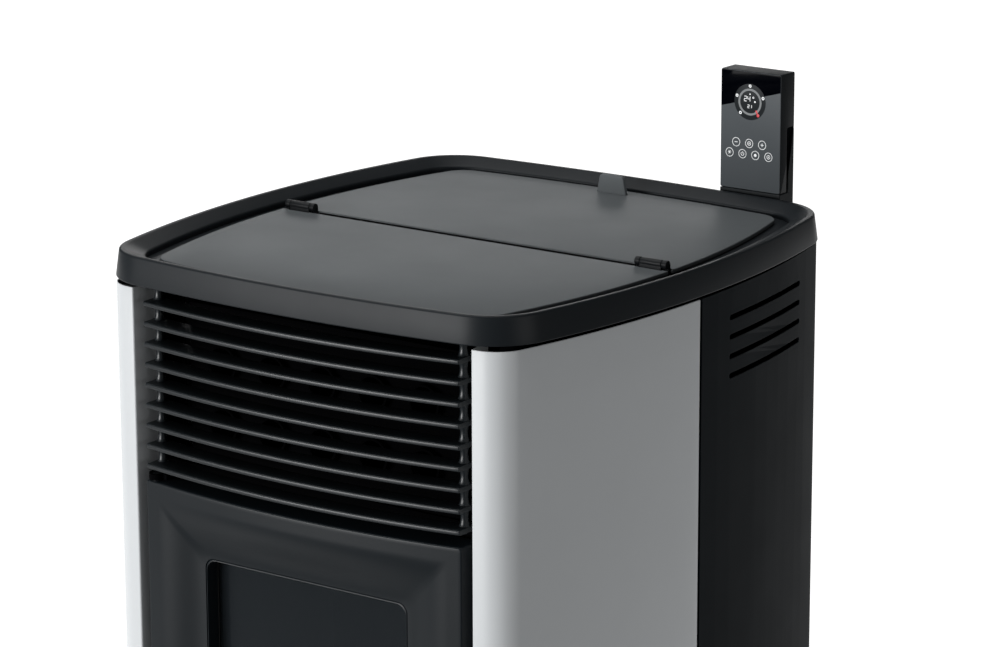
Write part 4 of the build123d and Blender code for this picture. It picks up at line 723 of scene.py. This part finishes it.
def spool(x, low, high):
    """A spacer from low to high.

    Its radius falls from wide to waist with the sine of the way along it, to a power of 0.7."""
    t = np.linspace(0, 1, 15)
    radius = SPOOL_WIDE - (SPOOL_WIDE - SPOOL_WAIST) * np.sin(math.pi * t) ** 0.7
    length = high - low
    profile = np.concatenate([[(AXIS_R, 0)], np.c_[radius, t * length], [(AXIS_R, length)]])
    return turned(profile, (x, ROD_Y, low), (0, 0, 1), 28)


spools = []
rod_low = slat_tops[-1] - SLAT_T - ROD_TIP
rod_length = DECK_LOW - rod_low
rod = [(AXIS_R, 0), (ROD_R, ROD_EDGE), (ROD_R, rod_length), (AXIS_R, rod_length)]
for x in (-ROD_X, ROD_X):
    spools.append(turned(rod, (x, ROD_Y, rod_low), (0, 0, 1), 20))
    spools += [spool(x, top, top + SLAT_PITCH - SLAT_T) for top in slat_tops[1:]]
    spools.append(spool(x, SLAT_TOP, DECK_LOW))
piece("grille_spacers", join(*spools), "cabinet", grille_paint, ["grille_rods"])

# %% [markdown]
# ## Fire door
# The door is a casting: its rim follows the front's bow, and inside the rim the surface sinks
# softly to a flat that frames the window. Rings of points run from the outer edge to the window,
# and the ease of a smoothstep blends the bow into the flat, which no bevel could do. The last rings
# turn back as the window's wall and the seat of the pane.


# %% Fire door
WINDOW_INSET, WINDOW_INSET_Z, SEAT_INSET = 63.2, 63.8, 53.9
DISH_START, DISH_END, DISH_Y, SEAT_Y = 13, 62.0, -245, -231.0
DOOR_EDGE, BACK_EDGE, DOOR_CORNER, CORNER_GAIN = 1.6, 0.6, 3, 7


def door_ring(inset):
    """A rounded rectangle in the door's plane: (x, z) at an inset from the edge.

    Its corners widen towards the window: radius = 3 + 7 * inset / the window's inset."""
    radius = DOOR_CORNER + CORNER_GAIN * np.clip(inset / WINDOW_INSET, 0, 1.2)
    half_x = DOOR_HALF - inset
    half_z = (DOOR_TOP - DOOR_LOW) / 2 - inset * WINDOW_INSET_Z / WINDOW_INSET
    signs = np.array([(1, -1), (1, 1), (-1, 1), (-1, -1)])
    middles = signs * (half_x - radius, half_z - radius)
    sides = []
    for k in range(4):
        angle = np.linspace(0, math.pi / 2, 9) + (k - 1) * math.pi / 2
        spoke = radius * np.c_[np.cos(angle), np.sin(angle)]
        curve = middles[k] + spoke
        sides += [curve, np.linspace(curve[-1], middles[(k + 1) % 4] + spoke[-1], 40)[1:-1]]
    return np.concatenate(sides) + (0, (DOOR_TOP + DOOR_LOW) / 2)


def door_layer(inset, y=None):
    """One ring of the door at that y, or on the bowed front with its sunk middle.

    The smoothstep is s * s * (3 - 2 s), with s the share of the way across the dish. The rim's
    edge is a quarter circle."""
    xz = door_ring(inset)
    if y is None:
        share = np.clip((inset - DISH_START) / (DISH_END - DISH_START), 0, 1)
        sink = share**2 * (3 - 2 * share)
        y = bow_y(xz[:, 0]) * (1 - sink) + DISH_Y * sink
        if inset < DOOR_EDGE:
            y = y + DOOR_EDGE - math.sqrt(max(0.0, DOOR_EDGE**2 - (DOOR_EDGE - inset) ** 2))
    return np.c_[xz[:, 0], np.broadcast_to(y, len(xz)), xz[:, 1]]


front = [0, 0.2, 0.5, 1.0, DOOR_EDGE, *np.linspace(4, 61.4, 30)]
layers = [door_layer(BACK_EDGE, -DOOR_BACK), door_layer(0, -DOOR_BACK - BACK_EDGE)]
layers += [door_layer(d) for d in front]
layers += [door_layer(WINDOW_INSET - DOOR_EDGE * math.cos(a),
                      DISH_Y + DOOR_EDGE * (1 - math.sin(a)))
           for a in np.linspace(0.3, math.pi / 2, 4)]
layers += [door_layer(WINDOW_INSET, SEAT_Y), door_layer(SEAT_INSET, SEAT_Y),
           door_layer(SEAT_INSET, -DOOR_BACK)]
piece("cast_door", rings(np.array(layers), ends="joined"), "door", door_paint,
      ["door_frame"])


# %% [markdown]
# ## Control panel
# A hand-held panel stands in its cradle behind the frame. Its body is moulded in one piece with a
# thicker head, its face is acrylic with a dial, and the touch keys are printed rings with a plain
# sign each. Over the face's upper part a black zone with a slanting lower edge copies a reflection:
# painted reflection.


# %% Control panel body
BODY_LEFT, BODY_RIGHT, BODY_LOW, BODY_TOP, HEAD_LOW = 91, 156.6, 952.0, 1064.0, 1012.0
BODY_FRONT, BODY_BACK, HEAD_BACK, FACE_FRONT, FACE_BACK = 268.8, 280.4, 292.0, 268.0, 268.9
FACE_LEFT, FACE_RIGHT, FACE_LOW, FACE_TOP = 91.4, 156.2, 952.3, 1063.7
body_section = rounded([(BODY_FRONT, BODY_LOW), (BODY_BACK, BODY_LOW), (BODY_BACK, HEAD_LOW),
                        (HEAD_BACK, HEAD_LOW), (HEAD_BACK, BODY_TOP), (BODY_FRONT, BODY_TOP)],
                       [0.6, 0.6, 1.0, 0.8, 1.6, 0.8], 6)
piece("control_panel_body", plate(body_section, BODY_LEFT, BODY_RIGHT, 1.1, "x"), "remote", moulded,
      ["remote_body"])
face_outline = rounded(box(FACE_LEFT, FACE_RIGHT, FACE_LOW, FACE_TOP), [1.5] * 4, 6)
piece("control_panel_face", plate(face_outline, FACE_FRONT, FACE_BACK, 0.4, "y"), "remote",
      face_plastic, ["remote_face"])

# %% [markdown]
# A print is a very thin plate. Prints that lie over each other stand one print's thickness more
# proud each, so that no two of them share a plane.


# %% Printing on the face
PRINT_T = 0.06
OVER_FACE, OVER_DIAL, OVER_RING = 0.06, 0.12, 0.18


def on_face(outline, lift):
    """A printed shape on the face, that far in front of it."""
    front = FACE_FRONT - lift - PRINT_T
    return plate(np.asarray(outline, float), front, FACE_FRONT - lift, PRINT_T / 3, "y")


def circle(cx, cz, radius, count=40):
    """A circle's points round (cx, cz)."""
    angle = np.linspace(0, 2 * math.pi, count, endpoint=False)
    return np.c_[cx + radius * np.cos(angle), cz + radius * np.sin(angle)]


def ring_mark(cx, cz, inner, outer, lift, start=0.0, end=360.0, count=48):
    """A printed ring or part of one: four loops of points, front and back, outside and inside."""
    whole = end - start >= 360
    angle = np.radians(np.linspace(start, end, count, endpoint=not whole))
    near, far = FACE_FRONT - lift, FACE_FRONT - PRINT_T - lift
    loops = [np.c_[cx + r * np.cos(angle), np.full(count, y), cz + r * np.sin(angle)]
             for r, y in ((inner, near), (inner, far), (outer, far), (outer, near))]
    return rings(np.array(loops).transpose(1, 0, 2), ends="joined" if whole else "capped")


def stroke(ax, az, bx, bz, width, lift=OVER_FACE):
    """A straight printed stroke of that width."""
    along = np.array([bx - ax, bz - az], float)
    along /= np.linalg.norm(along)
    side = np.array([-along[1], along[0]]) * width / 2
    a, b = np.array([ax, az]), np.array([bx, bz])
    return on_face([a - side, b - side, b + side, a + side], lift)


# %% Painted reflection zone and dial
DIAL, DIAL_R, DOTS_R = (123.0, 1035.4), 17.0, 15.0
REFLECTION_LEFT, REFLECTION_RIGHT, REFLECTION_TOP, REFLECTION_LOW = 91.6, 156.0, 1063.5, (1029.0, 1047.2)


def from_dial(degrees, radius):
    """A place on the dial, by its angle from the right and its distance from the middle."""
    angle = math.radians(degrees)
    return DIAL[0] + radius * math.cos(angle), DIAL[1] + radius * math.sin(angle)


# Black over the face down to a slanting line that copies a reflection's edge: painted reflection.
reflection_zone = rounded([(REFLECTION_LEFT, REFLECTION_LOW[0]), (REFLECTION_RIGHT, REFLECTION_LOW[1]),
                  (REFLECTION_RIGHT, REFLECTION_TOP), (REFLECTION_LEFT, REFLECTION_TOP)], [0, 0, 1.3, 1.3], 5)
piece("painted_reflection_zone", on_face(reflection_zone, 0.0), "remote", reflection_black_finish)
piece("dial_disc", on_face(circle(*DIAL, DIAL_R), OVER_FACE), "remote", dial_glass)
piece("dial_ring", ring_mark(*DIAL, 10.6, 12.6, OVER_DIAL), "remote", mark_ring)

# %% [markdown]
# The dial's digits are made of seven strokes, named a to g. Each line below gives a number, the
# place of its lower left corner from the dial's middle, and a stroke's width and height.

# %% Digits and dots of the dial
SEGMENTS = {"a": ((0, 2), (1, 2)), "b": ((1, 1), (1, 2)), "c": ((1, 0), (1, 1)),
            "d": ((0, 0), (1, 0)), "e": ((0, 0), (0, 1)), "f": ((0, 1), (0, 2)),
            "g": ((0, 1), (1, 1))}
DIGITS = {"2": "abged", "4": "fgbc", "1": "bc"}
NUMBERS = (("24", -6.2, 0.5, 2.5, 2.3), ("21", -2.4, -5.6, 1.7, 1.4))
DIGIT_STEP, DIGIT_STROKE = 1.5, 0.6
marks = []
for digits, x0, z0, wide, tall in NUMBERS:
    for index, digit in enumerate(digits):
        left, low = DIAL[0] + x0 + index * wide * DIGIT_STEP, DIAL[1] + z0
        for key in DIGITS[digit]:
            (ax, az), (bx, bz) = SEGMENTS[key]
            marks.append(stroke(left + ax * wide, low + az * tall, left + bx * wide,
                                low + bz * tall, DIGIT_STROKE, OVER_DIAL))
marks.append(ring_mark(DIAL[0] + 3.6, DIAL[1] + 4.4, 0.5, 1.0, OVER_DIAL, count=16))
for dx, dz, radius in ((5.4, 0.6, 0.9), (0, 7.3, 0.7)):
    marks.append(on_face(circle(DIAL[0] + dx, DIAL[1] + dz, radius, 20), OVER_DIAL))
for degrees in (90, 161, 19, 227):
    marks.append(ring_mark(*from_dial(degrees, DOTS_R), 0.6, 1.5, OVER_DIAL, count=20))
print(len(marks), "marks on the dial")


# %% Signs of the touch keys
ARM, ARM_GAP, BOLD, FINE = 1.6, 0.36, 0.7, 0.55


def minus(x, z):
    """One level stroke."""
    return [stroke(x - ARM, z, x + ARM, z, BOLD)]


def plus(x, z):
    """A level stroke and two upright ones that stop short of it."""
    return minus(x, z) + [stroke(x, z - ARM, x, z - ARM_GAP, BOLD),
                          stroke(x, z + ARM_GAP, x, z + ARM, BOLD)]


def star(x, z):
    """Three strokes through one middle, each lifted a little over the last."""
    angle = np.radians([0, 60, 120])
    return [stroke(x - 1.8 * c, z - 1.8 * s, x + 1.8 * c, z + 1.8 * s, FINE, OVER_FACE + 0.03 * k)
            for k, (c, s) in enumerate(zip(np.cos(angle), np.sin(angle)))]


def power(x, z):
    """A ring open at the top, and a stroke in its gap."""
    return [ring_mark(x, z, 1.3, 1.9, OVER_FACE, 130, 410, 24),
            stroke(x, z + 0.2, x, z + 2.3, FINE, 0.1)]


def dot(x, z):
    """One round spot."""
    return [on_face(circle(x, z, 1.5, 24), OVER_FACE)]


def eye(x, z):
    """A ring round a small spot."""
    return [ring_mark(x, z, 1.4, 2.0, OVER_FACE, count=24),
            on_face(circle(x, z, 0.6, 16), OVER_FACE)]


# %% Touch keys and the dial's red mark
KEY_IN, KEY_OUT = 3.75, 4.3
rows = ((996.3, ((108.5, minus), (122.7, eye), (136.8, plus))),
        (985.8, ((101.4, star), (115.5, power), (129.5, dot), (143.8, eye))))
for z, keys in rows:
    for x, sign in keys:
        marks += [ring_mark(x, z, KEY_IN, KEY_OUT, OVER_FACE, count=36), *sign(x, z)]
piece("touch_marks", join(*marks), "remote", mark_ink)
red = (stroke(*from_dial(-48, 9.9), *from_dial(-52, 13.4), 1.5, OVER_RING),
       on_face(circle(*from_dial(-53, 14.9), 1.5, 20), OVER_RING))
piece("dial_red_mark", join(*red), "remote", mark_red)


# %% [markdown]
# ## Sheet and moulded parts that keep their solid
# Their shape is right already, but a pressed or moulded edge is never knife sharp. A copy of the
# solid is merged, its flat faces joined, and a small bevel finishes it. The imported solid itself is
# left as it is.


# %% Softened copies
MERGE_M, FLAT_DEGREES, SHARP_DEGREES, BEVEL_DEGREES = 1e-6, 0.4, 30, 35


def softened(node, width):
    """A merged copy of a node, its sharp edges broken by a bevel of that width in millimetres."""
    source = frame["nodes"][node]
    mesh = bpy.data.meshes.new(node + "_soft")
    work = bmesh.new()
    work.from_mesh(source.data)
    bmesh.ops.remove_doubles(work, verts=work.verts[:], dist=MERGE_M)
    bmesh.ops.dissolve_limit(work, angle_limit=math.radians(FLAT_DEGREES), verts=work.verts[:],
                             edges=work.edges[:])
    work.to_mesh(mesh)
    work.free()
    mesh.materials.append(source.data.materials[0])
    mesh.shade_smooth()
    mesh.set_sharp_from_angle(angle=math.radians(SHARP_DEGREES))
    obj = bpy.data.objects.new(node + "_soft", mesh)
    bpy.context.scene.collection.objects.link(obj)
    bevel = obj.modifiers.new("broken_edge", "BEVEL")
    bevel.width, bevel.segments, bevel.limit_method = width / 1000, 2, "ANGLE"
    bevel.angle_limit, bevel.harden_normals = math.radians(BEVEL_DEGREES), True
    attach(obj, source["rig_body"])
    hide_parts(node)
    print(obj.name, len(mesh.vertices), "points before its bevel")
    return obj


bevel_widths = {"rear_side_right": 0.5, "rear_side_left": 0.5, "back_panel": 0.4,
                "remote_cradle": 0.8, "ash_drawer_front": 1.0, "lower_front_panel": 0.6,
                "door_handle": 1.0, "power_inlet": 0.4, "power_switch": 0.4}
for node, width in bevel_widths.items():
    softened(node, width)


# %% [markdown]
# ## Levelling feet
# A moulded rubber pad with a domed rim on a threaded stud. A lathe profile gives the dome. Its
# pairs are the radius and the height.

# %% Levelling feet
FOOT_X, FOOT_Y = 165, 185
foot = [(AXIS_R, 0), (17.5, 0), (18.6, 0.5), (19, 1.6), (19, 4.8), (18.4, 6.4), (16.5, 7.5),
        (12, 8), (5, 8), (5, 34), (AXIS_R, 34)]
feet = [turned(foot, (x, y, 0), (0, 0, 1), 48)
        for x in (-FOOT_X, FOOT_X) for y in (-FOOT_Y, FOOT_Y)]
piece("rubber_levelling_feet", join(*feet), "cabinet", rubber, ["levelling_feet"])

# %% [markdown]
# ## Floor, light and camera
# The photograph has a pure white ground, but a floor that is white all round would show in every
# black surface as a grey veil. So the floor is mid grey and only a wide pool of it behind the stove
# glows: the camera sees that pool, and the door and the grille mirror the dim floor in front. The
# glow falls from its full strength to nothing between two distances from the pool's middle.

# %% Floor
FLOOR_HALF, POOL_MIDDLE, POOL_FULL, POOL_END, GLOW = 30, (-2.46, 3.40, 0), 3.2, 5.6, 1.1
floor_mesh = bpy.data.meshes.new("floor")
floor_corners = at_level(box(-FLOOR_HALF, FLOOR_HALF, -FLOOR_HALF, FLOOR_HALF), 0)
floor_mesh.from_pydata(floor_corners.tolist(), [], [(0, 1, 2, 3)])
floor = bpy.data.objects.new("floor", floor_mesh)
bpy.context.scene.collection.objects.link(floor)
floor_finish, tree, shader = blank("studio_floor", "#747474", roughness=0.95, **{
    "Specular IOR Level": 0.1, "Emission Color": (1, 1, 1, 1)})
away = add(tree, "ShaderNodeVectorMath", {"operation": "DISTANCE"}, {1: POOL_MIDDLE},
           {0: object_place(tree)})
glow = add(tree, "ShaderNodeMapRange", {"interpolation_type": "SMOOTHSTEP"},
           {"From Min": POOL_FULL, "From Max": POOL_END, "To Min": GLOW, "To Max": 0.0},
           {"Value": away.outputs["Value"]})
tree.links.new(glow.outputs[0], shader.inputs["Emission Strength"])
floor_mesh.materials.append(floor_finish)
print("floor glows within", POOL_FULL, "m of its pool's middle")


# %% [markdown]
# The key light is a broad softbox in front, a little to the left. It stands low: a high one would
# light the tops of the slats, which are black in the photograph. A weak one on the right fills the
# grey side panel, and one above lights the lid. A long one stands far behind, where the level tops
# mirror it towards the camera: it draws the sheen on the frame's band. The air around is kept
# faint, so that black stays black.


# %% Lights
AIR = 0.12


def softbox(name, place, target, size, power):
    """A rectangular area light at a place, turned to face the target."""
    light = bpy.data.lights.new(name, "AREA")
    light.shape, light.size, light.size_y, light.energy = "RECTANGLE", size[0], size[1], power
    obj = bpy.data.objects.new(name, light)
    bpy.context.scene.collection.objects.link(obj)
    obj.location = place
    obj.rotation_euler = Vector(np.subtract(place, target)).to_track_quat("Z", "Y").to_euler()
    print(name, power, "W")
    return obj


softbox("front_softbox", (-3.1, -6.7, 1.15), (0, 0, 0.6), (4.6, 2.4), 620)
softbox("side_softbox", (4.2, -0.4, 1.0), (0.2, 0, 0.6), (2.0, 2.0), 34)
softbox("top_softbox", (-1.0, -0.2, 4.0), (0, 0, 0.9), (3.4, 3.0), 80)
softbox("back_softbox", (-5.0, 7.4, 3.1), (0, 0, 0.95), (6.0, 1.7), 80)
world = bpy.data.worlds.new("studio_air")
bpy.context.scene.world = world
world.use_nodes = True
world.node_tree.nodes["Background"].inputs["Color"].default_value = (1, 1, 1, 1)
world.node_tree.nodes["Background"].inputs["Strength"].default_value = AIR
bpy.context.scene.view_settings.view_transform = "Standard"

# %% [markdown]
# The camera's place, its three axes and its long lens were fitted to the photograph, so that the
# stove's edges fall where they do there.

# %% Camera
CAMERA_PLACE, LENS, SENSOR = (2.01145, -2.75159, 1.74114), 140.5, 36.0
RIGHT_AXIS = (0.81045371, 0.58579526, -0.00294802)
UP_AXIS = (-0.14446793, 0.20474479, 0.96809534)
BACK_AXIS = (0.56770926, -0.78417057, 0.25056481)
camera = bpy.data.objects.new("camera", bpy.data.cameras.new("camera"))
bpy.context.scene.collection.objects.link(camera)
camera.data.lens, camera.data.sensor_width = LENS, SENSOR
camera.data.clip_start, camera.data.clip_end = 0.1, 100.0
turn = Matrix((RIGHT_AXIS, UP_AXIS, BACK_AXIS)).transposed().to_4x4()
camera.matrix_world = Matrix.Translation(CAMERA_PLACE) @ turn
bpy.context.scene.camera = camera
print("camera", LENS, "mm lens")

# %% Finish
bpy.context.view_layer.update()
